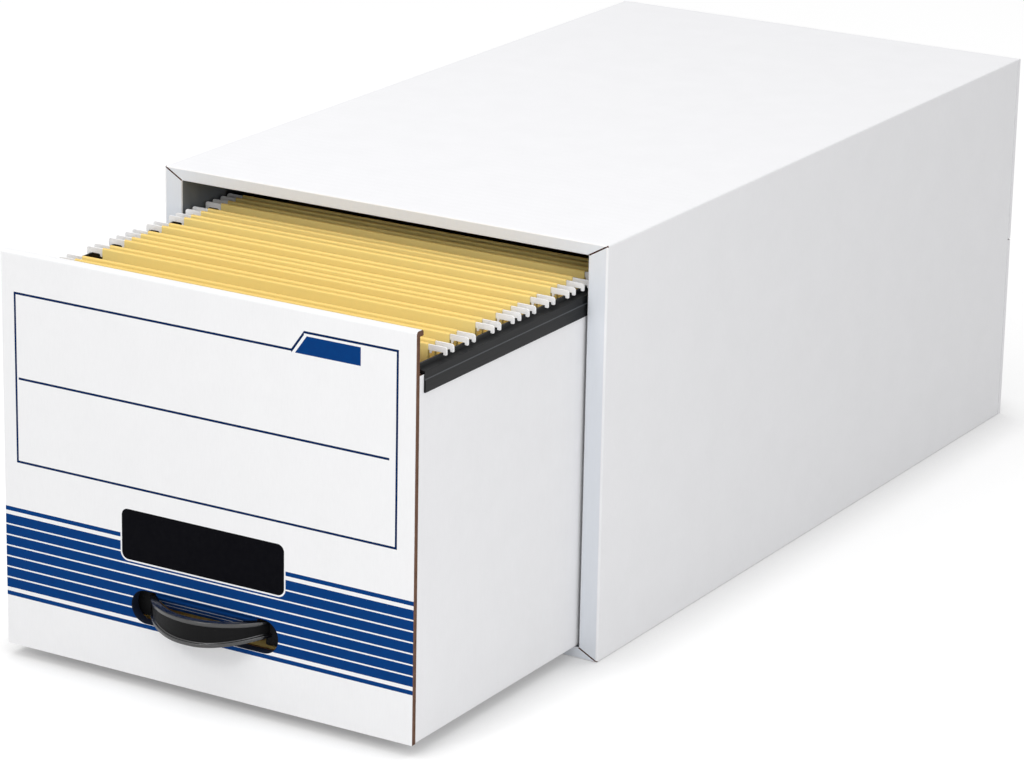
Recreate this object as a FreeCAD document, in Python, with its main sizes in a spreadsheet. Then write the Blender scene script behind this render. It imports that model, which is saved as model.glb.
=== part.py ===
"""File box with a pull-out drawer.

A sleeve of corrugated board holds a drawer of the same board.  The sleeve's front edge is rolled over a
steel frame, and a second steel frame at the back stops the drawer.  The drawer slides on a second floor,
carries hanging folders on two plastic rails, and is pulled by an arched plastic handle.

Millimetres, +Z up, and the drawer opens towards -Y.  The origin is the middle of the sleeve's underside.
Every place and size is an expression on the cells of the sheet "Sizes".
"""
import FreeCAD, Part
import Sketcher
import os

SIZES = (
    ("shell_width", 355.6, "outside width of the sleeve"),
    ("shell_depth", 647.7, "outside depth of the sleeve"),
    ("shell_height", 292.1, "outside height of the sleeve"),
    ("board", 3.9, "thickness of one ply of corrugated board"),
    ("post_width", 7.0, "room for the steel post inside each side lip"),
    ("steel", 0.8, "sheet steel of the two frames"),
    ("tuck_depth", 53.0, "depth of the flaps tucked in behind the front lips"),
    ("post_depth", 47.0, "depth of the front frame's posts"),
    ("post_play", 0.1, "gap on each side of a post"),
    ("rear_flange", 27.0, "width of the rear frame's flange"),
    ("rear_depth", 34.5, "depth of the rear frame's rim"),
    ("stop_gap", 0.4, "gap between the closed drawer and the rear frame"),
    ("flap_seam", 1.0, "gap where two back flaps meet"),
    ("open_by", 206.0, "how far the drawer stands out of the sleeve"),
    ("side_gap", 2.2, "gap between the drawer and the opening, each side"),
    ("low_gap", 0.4, "gap between the drawer and the floor it slides on"),
    ("top_gap", 0.5, "gap between the drawer front and the top lip"),
    ("rail_drop", 23.4, "rail ridge below the top of the drawer front"),
    ("rail_fit", 0.1, "gap between a rail and the board it grips"),
    ("rail_leg", 1.2, "thickness of the rail's inner leg"),
    ("rail_skin", 1.3, "thickness of the rail's outer skirt"),
    ("ridge_thick", 1.6, "thickness of the ridge that the hooks ride on"),
    ("ridge_rise", 3.0, "height of the ridge above the rail's shoulder"),
    ("shoulder_fall", 1.0, "fall of the shoulder from the ridge to the skirt"),
    ("rail_web", 2.0, "plastic between the shoulder and the board's edge"),
    ("cap_height", 5.0, "height of the rail's cap above the step in its outer face"),
    ("skirt_depth", 14.0, "height of the rail's outer face, cap and skirt together"),
    ("inner_leg_depth", 11.0, "height of the rail's inner leg below the board's edge"),
    ("rail_front_gap", 0.8, "gap between a rail and the drawer front"),
    ("rail_back_gap", 0.6, "gap between a rail and the drawer back"),
    ("slot_length", 116.0, "length of the hand slot"),
    ("slot_height", 23.0, "height of the hand slot"),
    ("slot_rise", 49.5, "middle of the hand slot above the drawer's underside"),
    ("handle_bow", 22.0, "how far the handle stands out of the drawer front"),
    ("handle_height", 18.0, "height of the handle's strap"),
    ("strap_thick", 2.4, "thickness of the strap between its ribs"),
    ("rib_height", 2.6, "height of the ribs along the strap's edges"),
    ("rib_stand", 1.4, "how far a rib stands out of the strap"),
    ("slot_inset", 2.0, "strap's end inside the end of the hand slot"),
    ("slot_play", 0.5, "gap between the handle and the slot's edge"),
    ("foot_thick", 2.4, "thickness of the feet that lock the handle"),
    ("foot_gap", 0.3, "gap between a foot and the inner ply"),
    ("foot_reach", 10.0, "how far a foot reaches past the end of the slot"),
    ("flap_width", 80.0, "width of the flap pushed in behind the slot"),
    ("flap_length", 20.0, "length of the flap from its fold"),
    ("flap_angle", 50.0, "angle of the flap from upright, in degrees"),
    ("flap_gap", 0.4, "gap between the flap's fold and the slot's edge"),
    ("first_folder", 40.5, "first folder's middle behind the drawer front"),
    ("folder_pitch_02", 25.5, "from the first folder to the second"),
    ("folder_pitch_03", 30.8, "from the second folder to the third"),
    ("folder_pitch_04", 24.7, "from the third folder to the fourth"),
    ("folder_pitch_05", 18.6, "from the fourth folder to the fifth"),
    ("folder_pitch_06", 24.3, "from the fifth folder to the sixth"),
    ("folder_pitch_07", 26.2, "from the sixth folder to the seventh"),
    ("folder_pitch_08", 20.0, "from the seventh folder to the eighth"),
    ("folder_pitch_09", 24.2, "from the eighth folder to the ninth"),
    ("folder_pitch_10", 18.0, "from the ninth folder to the tenth"),
    ("folder_mouth", 8.2, "from the middle of one rod of a folder to the other"),
    ("folder_floor_gap", 19.0, "folder's bottom fold above the drawer's floor"),
    ("card", 0.5, "thickness of a folder's card"),
    ("hem_depth", 14.0, "depth of the hem that holds a rod"),
    ("fold_half", 0.9, "half the thickness of a folder's bottom fold"),
    ("rod_thick", 1.0, "thickness of a flat steel rod"),
    ("rod_height", 3.8, "height of a flat steel rod"),
    ("rod_play", 0.2, "gap between a rod and the card round it"),
    ("hook_rest", 0.3, "running gap between a hook and the ridge"),
    ("hook_play", 0.5, "gap between a hook's tip and the ridge"),
    ("hook_drop", 2.4, "how far a hook's tip reaches below the rod"),
    ("hook_inset", 0.5, "hook's tip inside the outer face of the drawer side"),
    ("hook_round", 1.2, "corner of a hook's tip and arch"),
    ("hook_inner_round", 0.3, "chamfer under a hook, where it goes over the rail's ridge"),
    ("arch_width", 8.6, "width of the arch between a hook's tip and its inner leg"),
    ("leg_width", 1.6, "width of a hook's inner leg"),
    ("leg_drop", 2.0, "how far a hook's inner leg reaches below the rod"),
    ("folder_inset", 0.8, "edge of the card inside a hook's inner leg"),
)
FOLDERS = 10
SHEET_NAME = "Sizes"
MARGIN = "50"

doc = FreeCAD.newDocument("FileBox")
sheet = doc.addObject("Spreadsheet::Sheet", SHEET_NAME)
for row, (alias, value, note) in enumerate(SIZES, start=1):
    sheet.set(f"A{row}", alias)
    sheet.set(f"B{row}", str(value))
    sheet.setAlias(f"B{row}", alias)
    sheet.set(f"C{row}", note)
doc.recompute()


def size(alias):
    """The expression that reads one cell."""
    return f"{SHEET_NAME}.{alias}"


def plus(*terms):
    """The expression of a sum."""
    return "(" + " + ".join(terms) + ")"


def minus(first, *others):
    """The expression of a difference."""
    return "(" + " - ".join((first,) + others) + ")"


def times(number, term):
    """The expression of a multiple."""
    return f"({number} * {term})"


# ---- Places that several pieces share ------------------------------------------------------------------

BOARD = size("board")
TWO_BOARDS = times(2, BOARD)
SHELL_HALF = times(0.5, size("shell_width"))
WALL_IN = minus(SHELL_HALF, BOARD)
TUCK_OUT = minus(WALL_IN, size("post_width"))
OPENING_HALF = minus(TUCK_OUT, BOARD)
SHELL_FRONT = times(-0.5, size("shell_depth"))
SHELL_BACK = times(0.5, size("shell_depth"))
CEILING = minus(size("shell_height"), BOARD)
STRIP_LOW = minus(CEILING, size("steel"))
OPENING_TOP = minus(STRIP_LOW, BOARD)
SILL = TWO_BOARDS

REAR_END = minus(SHELL_BACK, TWO_BOARDS)
REAR_START = minus(REAR_END, size("rear_depth"))
CLOSED_BACK = minus(REAR_START, size("stop_gap"))

DRAWER_FRONT = minus(SHELL_FRONT, size("open_by"))
DRAWER_BACK = minus(CLOSED_BACK, size("open_by"))
SIDE_OUT = minus(OPENING_HALF, size("side_gap"))
SIDE_IN = minus(SIDE_OUT, BOARD)
DRAWER_LOW = plus(SILL, size("low_gap"))
DRAWER_FLOOR = plus(DRAWER_LOW, BOARD)
DRAWER_TOP = minus(OPENING_TOP, size("top_gap"))
BEHIND_OUTER = plus(DRAWER_FRONT, BOARD)
BEHIND_INNER = plus(DRAWER_FRONT, TWO_BOARDS)

RIDGE_TOP = minus(DRAWER_TOP, size("rail_drop"))
SHOULDER_HIGH = minus(RIDGE_TOP, size("ridge_rise"))
SHOULDER_LOW = minus(SHOULDER_HIGH, size("shoulder_fall"))
BOARD_EDGE = minus(SHOULDER_LOW, size("rail_web"))
LEG_OUT = minus(SIDE_IN, size("rail_fit"))
RIDGE_IN = minus(LEG_OUT, size("rail_leg"))
RIDGE_OUT = plus(RIDGE_IN, size("ridge_thick"))
SKIRT_IN = plus(SIDE_OUT, size("rail_fit"))
SKIRT_OUT = plus(SKIRT_IN, size("rail_skin"))

SLOT_MIDDLE = plus(DRAWER_LOW, size("slot_rise"))
SLOT_HALF = times(0.5, size("slot_length"))
FOOT_FRONT = plus(BEHIND_INNER, size("foot_gap"))
FOOT_BACK = plus(FOOT_FRONT, size("foot_thick"))

ROD_LOW = plus(RIDGE_TOP, size("hook_rest"))
ROD_TOP = plus(ROD_LOW, size("rod_height"))
TIP_OUT = minus(SIDE_OUT, size("hook_inset"))
TIP_IN = plus(RIDGE_OUT, size("hook_play"))
ARCH_IN = minus(TIP_IN, size("arch_width"))
LEG_IN = minus(ARCH_IN, size("leg_width"))
CARD_HALF = minus(LEG_IN, size("folder_inset"))
FOLD_LOW = plus(DRAWER_FLOOR, size("folder_floor_gap"))

parts = []


# ---- Ways of making a piece ----------------------------------------------------------------------------

def keep(piece, label):
    """Name a finished piece, and list it for export."""
    piece.Label = label
    parts.append(piece)
    return piece


def block(name, low, high):
    """A Part box between two corners, each given as three expressions."""
    box = doc.addObject("Part::Box", name)
    for edge, axis, start, end in zip(("Length", "Width", "Height"), "xyz", low, high):
        box.setExpression(edge, minus(end, start))
        box.setExpression(f"Placement.Base.{axis}", start)
    return box


def drum(name, radius, height, base):
    """An upright Part cylinder."""
    cylinder = doc.addObject("Part::Cylinder", name)
    cylinder.setExpression("Radius", radius)
    cylinder.setExpression("Height", height)
    for axis, place in zip("xyz", base):
        cylinder.setExpression(f"Placement.Base.{axis}", place)
    return cylinder


def subtract(name, base, tool):
    """One Part shape cut out of another."""
    result = doc.addObject("Part::Cut", name)
    result.Base = base
    result.Tool = tool
    return result


def join(name, shapes):
    """Several Part shapes fused into one."""
    result = doc.addObject("Part::MultiFuse", name)
    result.Shapes = shapes
    return result


def overlap(name, base, tool):
    """What two Part shapes share."""
    result = doc.addObject("Part::Common", name)
    result.Base = base
    result.Tool = tool
    return result


def plane_of(body, role):
    """One of a body's own origin planes."""
    for feature in body.Origin.OriginFeatures:
        if feature.Role == role:
            return feature
    raise ValueError(role)


def outline(body, name, role, corners):
    """A closed sketch of straight edges whose corners are pairs of expressions."""
    sketch = body.newObject("Sketcher::SketchObject", name)
    sketch.AttachmentSupport = [(plane_of(body, role), "")]
    sketch.MapMode = "FlatFace"
    points = []
    for across, along in corners:
        here = (float(sheet.evalExpression(across)), float(sheet.evalExpression(along)))
        points.append(FreeCAD.Vector(here[0], here[1], 0))
    count = len(points)
    edges = [Part.LineSegment(points[i], points[(i + 1) % count]) for i in range(count)]
    sketch.addGeometry(edges, False)
    for i in range(count):
        sketch.addConstraint(Sketcher.Constraint("Coincident", i, 2, (i + 1) % count, 1))
    for i, (across, along) in enumerate(corners):
        for kind, letter, expression, value in (
            ("DistanceX", "across", across, points[i].x),
            ("DistanceY", "along", along, points[i].y),
        ):
            index = sketch.addConstraint(Sketcher.Constraint(kind, -1, 1, i, 1, value))
            sketch.renameConstraint(index, f"{letter}_{i}")
            sketch.setExpression(f"Constraints.{letter}_{i}", expression)
    return sketch


def extruded(name, role, corners, start, end):
    """A PartDesign body: an outline on one of its planes, padded from start to end along +X, +Y or +Z."""
    body = doc.addObject("PartDesign::Body", name)
    sketch = outline(body, name + "_outline", role, corners)
    backwards = role == "XZ_Plane"
    sketch.setExpression("AttachmentOffset.Base.z", times(-1, start) if backwards else start)
    pad = body.newObject("PartDesign::Pad", name + "_pad")
    pad.Profile = sketch
    pad.setExpression("Length", minus(end, start))
    pad.Reversed = backwards
    body.Tip = pad
    return body


def mirrored(corners, side):
    """An outline for the right (1) or the left (-1) of the box."""
    return [(times(side, across), along) for across, along in corners]


def sided(side, inner, outer):
    """Low and high X of something between two distances from the middle, on one side."""
    if side > 0:
        return inner, outer
    return times(-1, outer), times(-1, inner)


SIDES = (("left", -1), ("right", 1))


# ---- Sleeve --------------------------------------------------------------------------------------------

def make_sleeve_walls():
    """The four walls behind the front lips and in front of the outer back flaps."""
    start = plus(SHELL_FRONT, BOARD)
    end = minus(SHELL_BACK, BOARD)
    left = times(-1, SHELL_HALF)
    keep(block("sleeve_top", (left, start, CEILING), (SHELL_HALF, end, size("shell_height"))), "shell_top")
    keep(block("sleeve_bottom", (left, start, "0"), (SHELL_HALF, end, BOARD)), "shell_bottom")
    for name, side in SIDES:
        low_x, high_x = sided(side, WALL_IN, SHELL_HALF)
        wall = block("sleeve_" + name, (low_x, start, BOARD), (high_x, end, CEILING))
        keep(wall, "shell_side_" + name)


def make_front_lips():
    """The rolled front edge: four faces mitred from the outer to the inner corners."""
    end = plus(SHELL_FRONT, BOARD)
    top = size("shell_height")
    left_out = times(-1, SHELL_HALF)
    left_in = times(-1, OPENING_HALF)
    high = [(left_out, top), (SHELL_HALF, top), (OPENING_HALF, OPENING_TOP), (left_in, OPENING_TOP)]
    low = [(left_out, "0"), (SHELL_HALF, "0"), (OPENING_HALF, SILL), (left_in, SILL)]
    keep(extruded("lip_top", "XZ_Plane", high, SHELL_FRONT, end), "front_lip_top")
    keep(extruded("lip_bottom", "XZ_Plane", low, SHELL_FRONT, end), "front_lip_bottom")
    for name, side in SIDES:
        face = [(SHELL_HALF, "0"), (SHELL_HALF, top), (OPENING_HALF, OPENING_TOP), (OPENING_HALF, SILL)]
        lip = extruded("lip_" + name, "XZ_Plane", mirrored(face, side), SHELL_FRONT, end)
        keep(lip, "front_lip_" + name)


def make_front_tucks():
    """The flaps that go on from the lips: three short ones, and a long one that is a second floor."""
    start = plus(SHELL_FRONT, BOARD)
    end = plus(SHELL_FRONT, size("tuck_depth"))
    left = times(-1, TUCK_OUT)
    keep(block("tuck_top", (left, start, OPENING_TOP), (TUCK_OUT, end, STRIP_LOW)), "front_tuck_top")
    for name, side in SIDES:
        low_x, high_x = sided(side, OPENING_HALF, TUCK_OUT)
        tuck = block("tuck_" + name, (low_x, start, SILL), (high_x, end, OPENING_TOP))
        keep(tuck, "front_tuck_" + name)
    keep(block("floor", (left, start, BOARD), (TUCK_OUT, CLOSED_BACK, SILL)), "floor_liner")


def make_back_flaps():
    """Two inner flaps that meet on the middle line, and two outer ones that meet at half height."""
    inner_start = REAR_END
    outer_start = minus(SHELL_BACK, BOARD)
    half_seam = times(0.5, size("flap_seam"))
    for name, side in SIDES:
        low_x, high_x = sided(side, half_seam, WALL_IN)
        flap = block("inner_flap_" + name, (low_x, inner_start, BOARD), (high_x, outer_start, CEILING))
        keep(flap, "back_flap_inner_" + name)
    left = times(-1, SHELL_HALF)
    middle = times(0.5, size("shell_height"))
    seam_low = minus(middle, half_seam)
    seam_high = plus(middle, half_seam)
    lower = block("outer_flap_low", (left, outer_start, "0"), (SHELL_HALF, SHELL_BACK, seam_low))
    upper = block(
        "outer_flap_high", (left, outer_start, seam_high), (SHELL_HALF, SHELL_BACK, size("shell_height"))
    )
    keep(lower, "back_flap_outer_bottom")
    keep(upper, "back_flap_outer_top")


def make_front_steel_frame():
    """A portal inside the front lips: two folded channel posts under a strip."""
    start = plus(SHELL_FRONT, BOARD)
    end = plus(start, size("post_depth"))
    steel = size("steel")
    pieces = [block("strip", (times(-1, WALL_IN), start, STRIP_LOW), (WALL_IN, end, CEILING))]
    low = plus(TUCK_OUT, size("post_play"))
    high = minus(WALL_IN, size("post_play"))
    for name, side in SIDES:
        channel = [
            (low, start), (high, start), (high, end), (minus(high, steel), end),
            (minus(high, steel), plus(start, steel)), (plus(low, steel), plus(start, steel)),
            (plus(low, steel), end), (low, end),
        ]
        pieces.append(extruded("post_" + name, "XY_Plane", mirrored(channel, side), BOARD, STRIP_LOW))
    keep(join("front_frame", pieces), "front_steel_frame")


def make_rear_steel_frame():
    """A folded tray with a window: its flange stops the drawer, its rim lies along the walls."""
    steel = size("steel")
    flange = size("rear_flange")
    left = times(-1, WALL_IN)
    tray = block("tray", (left, REAR_START, BOARD), (WALL_IN, REAR_END, CEILING))
    hollow = block(
        "tray_hollow",
        (plus(left, steel), plus(REAR_START, steel), plus(BOARD, steel)),
        (minus(WALL_IN, steel), plus(REAR_END, MARGIN), minus(CEILING, steel)),
    )
    window = block(
        "tray_window",
        (plus(left, flange), minus(REAR_START, MARGIN), plus(BOARD, flange)),
        (minus(WALL_IN, flange), plus(REAR_END, MARGIN), minus(CEILING, flange)),
    )
    rim = subtract("tray_rim", tray, hollow)
    keep(subtract("rear_frame", rim, window), "rear_steel_frame")


# ---- Drawer --------------------------------------------------------------------------------------------

def slot_prism(name, start, end, shrink):
    """A prism of the hand slot's shape along Y, smaller all round by shrink."""
    radius = minus(times(0.5, size("slot_height")), shrink)
    end_middle = minus(SLOT_HALF, times(0.5, size("slot_height")))
    pieces = [
        block(
            name + "_bar",
            (times(-1, end_middle), start, minus(SLOT_MIDDLE, radius)),
            (end_middle, end, plus(SLOT_MIDDLE, radius)),
        )
    ]
    for side_name, side in SIDES:
        round_end = drum(
            f"{name}_{side_name}", radius, minus(end, start), (times(side, end_middle), start, SLOT_MIDDLE)
        )
        turned = FreeCAD.Rotation(FreeCAD.Vector(1, 0, 0), -90)
        round_end.Placement = FreeCAD.Placement(FreeCAD.Vector(0, 0, 0), turned)
        pieces.append(round_end)
    return join(name, pieces)


def make_drawer_front():
    """The outer ply rolled over the top edge, and the inner ply between the sides, both slotted."""
    edge = minus(DRAWER_TOP, BOARD)
    rolled = [
        (DRAWER_FRONT, DRAWER_LOW), (DRAWER_FRONT, DRAWER_TOP), (BEHIND_INNER, DRAWER_TOP),
        (BEHIND_INNER, edge), (BEHIND_OUTER, edge), (BEHIND_OUTER, DRAWER_LOW),
    ]
    outer = extruded("outer_ply", "YZ_Plane", rolled, times(-1, SIDE_OUT), SIDE_OUT)
    hole = slot_prism("outer_slot", minus(DRAWER_FRONT, MARGIN), plus(DRAWER_FRONT, MARGIN), "0")
    keep(subtract("outer_front", outer, hole), "drawer_front_outer")

    inner_low = (times(-1, SIDE_IN), BEHIND_OUTER, DRAWER_FLOOR)
    inner = block("inner_ply", inner_low, (SIDE_IN, BEHIND_INNER, edge))
    hole = slot_prism("inner_slot", minus(DRAWER_FRONT, MARGIN), plus(DRAWER_FRONT, MARGIN), "0")
    keep(subtract("inner_front", inner, hole), "drawer_front_inner")


def make_drawer_tray():
    """Floor, sides and the doubled back of the drawer."""
    left = times(-1, SIDE_IN)
    floor = block("tray_floor", (left, BEHIND_OUTER, DRAWER_LOW), (SIDE_IN, DRAWER_BACK, DRAWER_FLOOR))
    keep(floor, "drawer_bottom")
    for name, side in SIDES:
        low_x, high_x = sided(side, SIDE_IN, SIDE_OUT)
        wall = block("tray_" + name, (low_x, BEHIND_OUTER, DRAWER_LOW), (high_x, DRAWER_BACK, BOARD_EDGE))
        keep(wall, "drawer_side_" + name)
    for name, behind, before in (("inner", TWO_BOARDS, BOARD), ("outer", BOARD, "0")):
        low = (left, minus(DRAWER_BACK, behind), DRAWER_FLOOR)
        high = (SIDE_IN, minus(DRAWER_BACK, before), BOARD_EDGE)
        keep(block("tray_back_" + name, low, high), "drawer_back_" + name)


def make_rails():
    """A plastic rail over each side's top edge: a ridge for the folders' hooks, a cap and a skirt."""
    fit = size("rail_fit")
    step = times(0.5, size("rail_skin"))
    step_high = minus(SHOULDER_LOW, size("cap_height"))
    skirt_low = minus(SHOULDER_LOW, size("skirt_depth"))
    leg_low = minus(BOARD_EDGE, size("inner_leg_depth"))
    section = [
        (RIDGE_IN, RIDGE_TOP), (RIDGE_OUT, RIDGE_TOP), (RIDGE_OUT, SHOULDER_HIGH),
        (minus(SKIRT_OUT, step), SHOULDER_LOW), (minus(SKIRT_OUT, step), step_high),
        (SKIRT_OUT, minus(step_high, step)), (SKIRT_OUT, skirt_low), (SKIRT_IN, skirt_low),
        (SKIRT_IN, plus(BOARD_EDGE, fit)), (LEG_OUT, plus(BOARD_EDGE, fit)), (LEG_OUT, leg_low),
        (RIDGE_IN, leg_low),
    ]
    start = plus(BEHIND_INNER, size("rail_front_gap"))
    end = minus(DRAWER_BACK, TWO_BOARDS, size("rail_back_gap"))
    for name, side in SIDES:
        keep(extruded("rail_" + name, "XZ_Plane", mirrored(section, side), start, end), "file_rail_" + name)


def make_handle_flap():
    """The board cut free by the slot, folded in about the slot's top edge."""
    flap = doc.addObject("Part::Box", "pushed_flap")
    flap.setExpression("Length", size("flap_width"))
    flap.setExpression("Width", BOARD)
    flap.setExpression("Height", size("flap_length"))
    flap.Placement = FreeCAD.Placement(
        FreeCAD.Vector(0, 0, 0), FreeCAD.Rotation(FreeCAD.Vector(1, 0, 0), 180)
    )
    flap.setExpression("Placement.Rotation.Angle", plus("180", size("flap_angle")))
    hinge = minus(plus(SLOT_MIDDLE, times(0.5, size("slot_height"))), size("flap_gap"))
    flap.setExpression("Placement.Base.x", times(-0.5, size("flap_width")))
    flap.setExpression("Placement.Base.y", BEHIND_OUTER)
    flap.setExpression("Placement.Base.z", hinge)
    keep(flap, "handle_flap")


def make_pull_handle():
    """An arched strap with a rib along each edge, and a foot at each end behind the inner ply."""
    span = minus(SLOT_HALF, size("slot_inset"))
    rise = plus(minus(FOOT_BACK, DRAWER_FRONT), size("handle_bow"))
    radius = f"((({span})^2 + ({rise})^2) / (2 * {rise}))"
    crest = minus(DRAWER_FRONT, size("handle_bow"))
    low = minus(SLOT_MIDDLE, times(0.5, size("handle_height")))
    high = plus(SLOT_MIDDLE, times(0.5, size("handle_height")))

    def ring(name, outer, inner, bottom, height):
        """A tube about the strap's centre line."""
        base = ("0", plus(crest, radius), bottom)
        outside = drum(name + "_out", outer, height, base)
        inside = drum(name + "_in", inner, height, base)
        return subtract(name, outside, inside)

    strap_out = minus(radius, size("rib_stand"))
    strap_in = minus(strap_out, size("strap_thick"))
    rib_in = minus(strap_in, size("rib_stand"))
    rib = size("rib_height")
    rings = join("rings", [
        ring("strap", strap_out, strap_in, low, size("handle_height")),
        ring("low_rib", radius, rib_in, low, rib),
        ring("high_rib", radius, rib_in, minus(high, rib), rib),
    ])
    face = minus(DRAWER_FRONT, size("slot_play"))
    before = block(
        "before_slot", (times(-1, SLOT_HALF), minus(crest, MARGIN), low), (SLOT_HALF, face, high)
    )
    through = slot_prism("through_slot", face, FOOT_BACK, size("slot_play"))
    pieces = [overlap("arch", rings, join("arch_room", [before, through]))]
    foot_in = minus(span, times(2, size("strap_thick")))
    foot_out = plus(SLOT_HALF, size("foot_reach"))
    for name, side in SIDES:
        low_x, high_x = sided(side, foot_in, foot_out)
        pieces.append(block("foot_" + name, (low_x, FOOT_FRONT, low), (high_x, FOOT_BACK, high)))
    keep(join("handle", pieces), "pull_handle")


# ---- Hanging folders -----------------------------------------------------------------------------------

def folder_middle(number):
    """Y of a folder's middle, counted from the drawer front."""
    terms = [DRAWER_FRONT, size("first_folder")]
    terms += [size(f"folder_pitch_{i:02d}") for i in range(2, number + 1)]
    return plus(*terms)


def make_folder_card(number):
    """One sheet folded to a V, with a hem round the rod at each top edge."""
    card = size("card")
    half_mouth = times(0.5, size("folder_mouth"))
    half_room = plus(times(0.5, size("rod_thick")), size("rod_play"))
    hem_out = plus(half_mouth, half_room, card)
    wall_in = plus(half_mouth, half_room)
    tongue_out = minus(half_mouth, half_room)
    tongue_in = minus(tongue_out, card)
    top = plus(ROD_TOP, size("rod_play"), card)
    under_top = plus(ROD_TOP, size("rod_play"))
    hem_low = minus(top, size("hem_depth"))
    fold_in = minus(size("fold_half"), card)
    half = [
        (size("fold_half"), FOLD_LOW), (hem_out, hem_low), (hem_out, top), (tongue_in, top),
        (tongue_in, hem_low), (tongue_out, hem_low), (tongue_out, under_top), (wall_in, under_top),
        (wall_in, hem_low), (fold_in, plus(FOLD_LOW, times(3, card))),
    ]
    other = mirrored(half[::-1], -1)
    width = times(-1, CARD_HALF), CARD_HALF
    folder = extruded(f"card_{number:02d}", "YZ_Plane", half + other, *width)
    folder.setExpression("Placement.Base.y", folder_middle(number))
    keep(folder, f"folder_{number:02d}")


def make_folder_rods(number):
    """A folder's two flat rods, each with a hook at both ends."""
    tip_low = minus(ROD_LOW, size("hook_drop"))
    leg_low = minus(ROD_LOW, size("leg_drop"))
    corner = size("hook_round")
    under = size("hook_inner_round")
    half = [
        (minus(TIP_OUT, corner), ROD_TOP), (TIP_OUT, minus(ROD_TOP, corner)), (TIP_OUT, tip_low),
        (TIP_IN, tip_low), (TIP_IN, minus(ROD_LOW, under)), (minus(TIP_IN, under), ROD_LOW),
        (plus(ARCH_IN, corner), ROD_LOW), (ARCH_IN, minus(ROD_LOW, corner)), (ARCH_IN, leg_low),
        (LEG_IN, leg_low), (LEG_IN, ROD_LOW),
    ]
    other = mirrored(half[::-1], -1)
    half_mouth = times(0.5, size("folder_mouth"))
    half_rod = times(0.5, size("rod_thick"))
    middle = folder_middle(number)
    reach = plus(half_mouth, half_rod)
    both = extruded(
        f"rods_{number:02d}", "XZ_Plane", half + other, minus(middle, reach), plus(middle, reach)
    )
    room = minus(half_mouth, half_rod)
    between = block(
        f"between_rods_{number:02d}",
        (times(-1, SHELL_HALF), minus(middle, room), "0"),
        (SHELL_HALF, plus(middle, room), size("shell_height")),
    )
    keep(subtract(f"rod_pair_{number:02d}", both, between), f"folder_rods_{number:02d}")


# ---- The whole box -------------------------------------------------------------------------------------

make_sleeve_walls()
make_front_lips()
make_front_tucks()
make_back_flaps()
make_front_steel_frame()
make_rear_steel_frame()
make_drawer_front()
make_drawer_tray()
make_rails()
make_handle_flap()
make_pull_handle()
for number in range(1, FOLDERS + 1):
    make_folder_card(number)
    make_folder_rods(number)
doc.recompute()

for thing in doc.Objects:
    if "Invalid" in thing.State or "Error" in thing.State:
        raise RuntimeError(f"{thing.Label} did not recompute: {thing.State}")
for piece in parts:
    if piece.Shape.isNull() or not piece.Shape.isValid():
        raise RuntimeError(f"{piece.Label} has no valid shape")

os.makedirs("parts", exist_ok=True)
for piece in parts:
    piece.Shape.exportStep(f"parts/{piece.Label}.step")
    bounds = piece.Shape.BoundBox
    print(
        f"{piece.Label:26s} solids {len(piece.Shape.Solids)}  volume {piece.Shape.Volume:12.1f}"
        f"  x {bounds.XMin:8.1f} {bounds.XMax:8.1f}  y {bounds.YMin:8.1f} {bounds.YMax:8.1f}"
        f"  z {bounds.ZMin:7.1f} {bounds.ZMax:7.1f}"
    )
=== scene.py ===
# %% [markdown]
# # A board file box with its drawer pulled out
# The object is a storage box for hanging folders: a sleeve of white corrugated board, with a
# drawer of the same board that slides on the sleeve's floor. Ten yellow folders hang in it on two
# black rails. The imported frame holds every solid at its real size, so this lesson only dresses
# it: each piece is modelled over its solid, takes a procedural finish and rides on its body.

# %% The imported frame
import math
from contextlib import contextmanager
from functools import reduce

import bmesh
import bpy
from mathutils import Euler, Matrix, Vector, noise


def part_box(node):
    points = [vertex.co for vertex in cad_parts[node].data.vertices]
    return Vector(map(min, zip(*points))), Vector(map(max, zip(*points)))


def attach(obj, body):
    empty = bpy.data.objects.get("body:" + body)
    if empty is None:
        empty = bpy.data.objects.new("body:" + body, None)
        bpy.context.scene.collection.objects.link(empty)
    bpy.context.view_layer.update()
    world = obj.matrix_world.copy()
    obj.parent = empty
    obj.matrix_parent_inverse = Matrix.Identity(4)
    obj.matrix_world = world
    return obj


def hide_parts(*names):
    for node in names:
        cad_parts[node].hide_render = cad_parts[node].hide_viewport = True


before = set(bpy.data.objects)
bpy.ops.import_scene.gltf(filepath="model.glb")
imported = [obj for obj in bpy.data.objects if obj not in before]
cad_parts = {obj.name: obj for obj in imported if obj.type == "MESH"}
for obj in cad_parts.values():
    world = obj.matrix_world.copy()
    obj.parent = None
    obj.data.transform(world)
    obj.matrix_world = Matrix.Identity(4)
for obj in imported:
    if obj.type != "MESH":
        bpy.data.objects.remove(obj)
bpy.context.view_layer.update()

X, Y, Z = 0, 1, 2
MM = 0.001

# %% [markdown]
# ## The camera
# A long lens from about three metres away keeps the box's edges nearly parallel. The camera is
# placed by four plain facts: where the eye is, which way it is turned, how far it looks down, and
# how far it leans. The lens is a length in millimetres on a 36 mm sensor.

# %% Camera
EYE = Vector((1.4326, -2.5474, 1.0224))
TURN_LEFT = math.radians(30.81)
LOOK_DOWN = math.radians(17.91)
LEAN = math.radians(1.12)
LENS = 143.05

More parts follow.
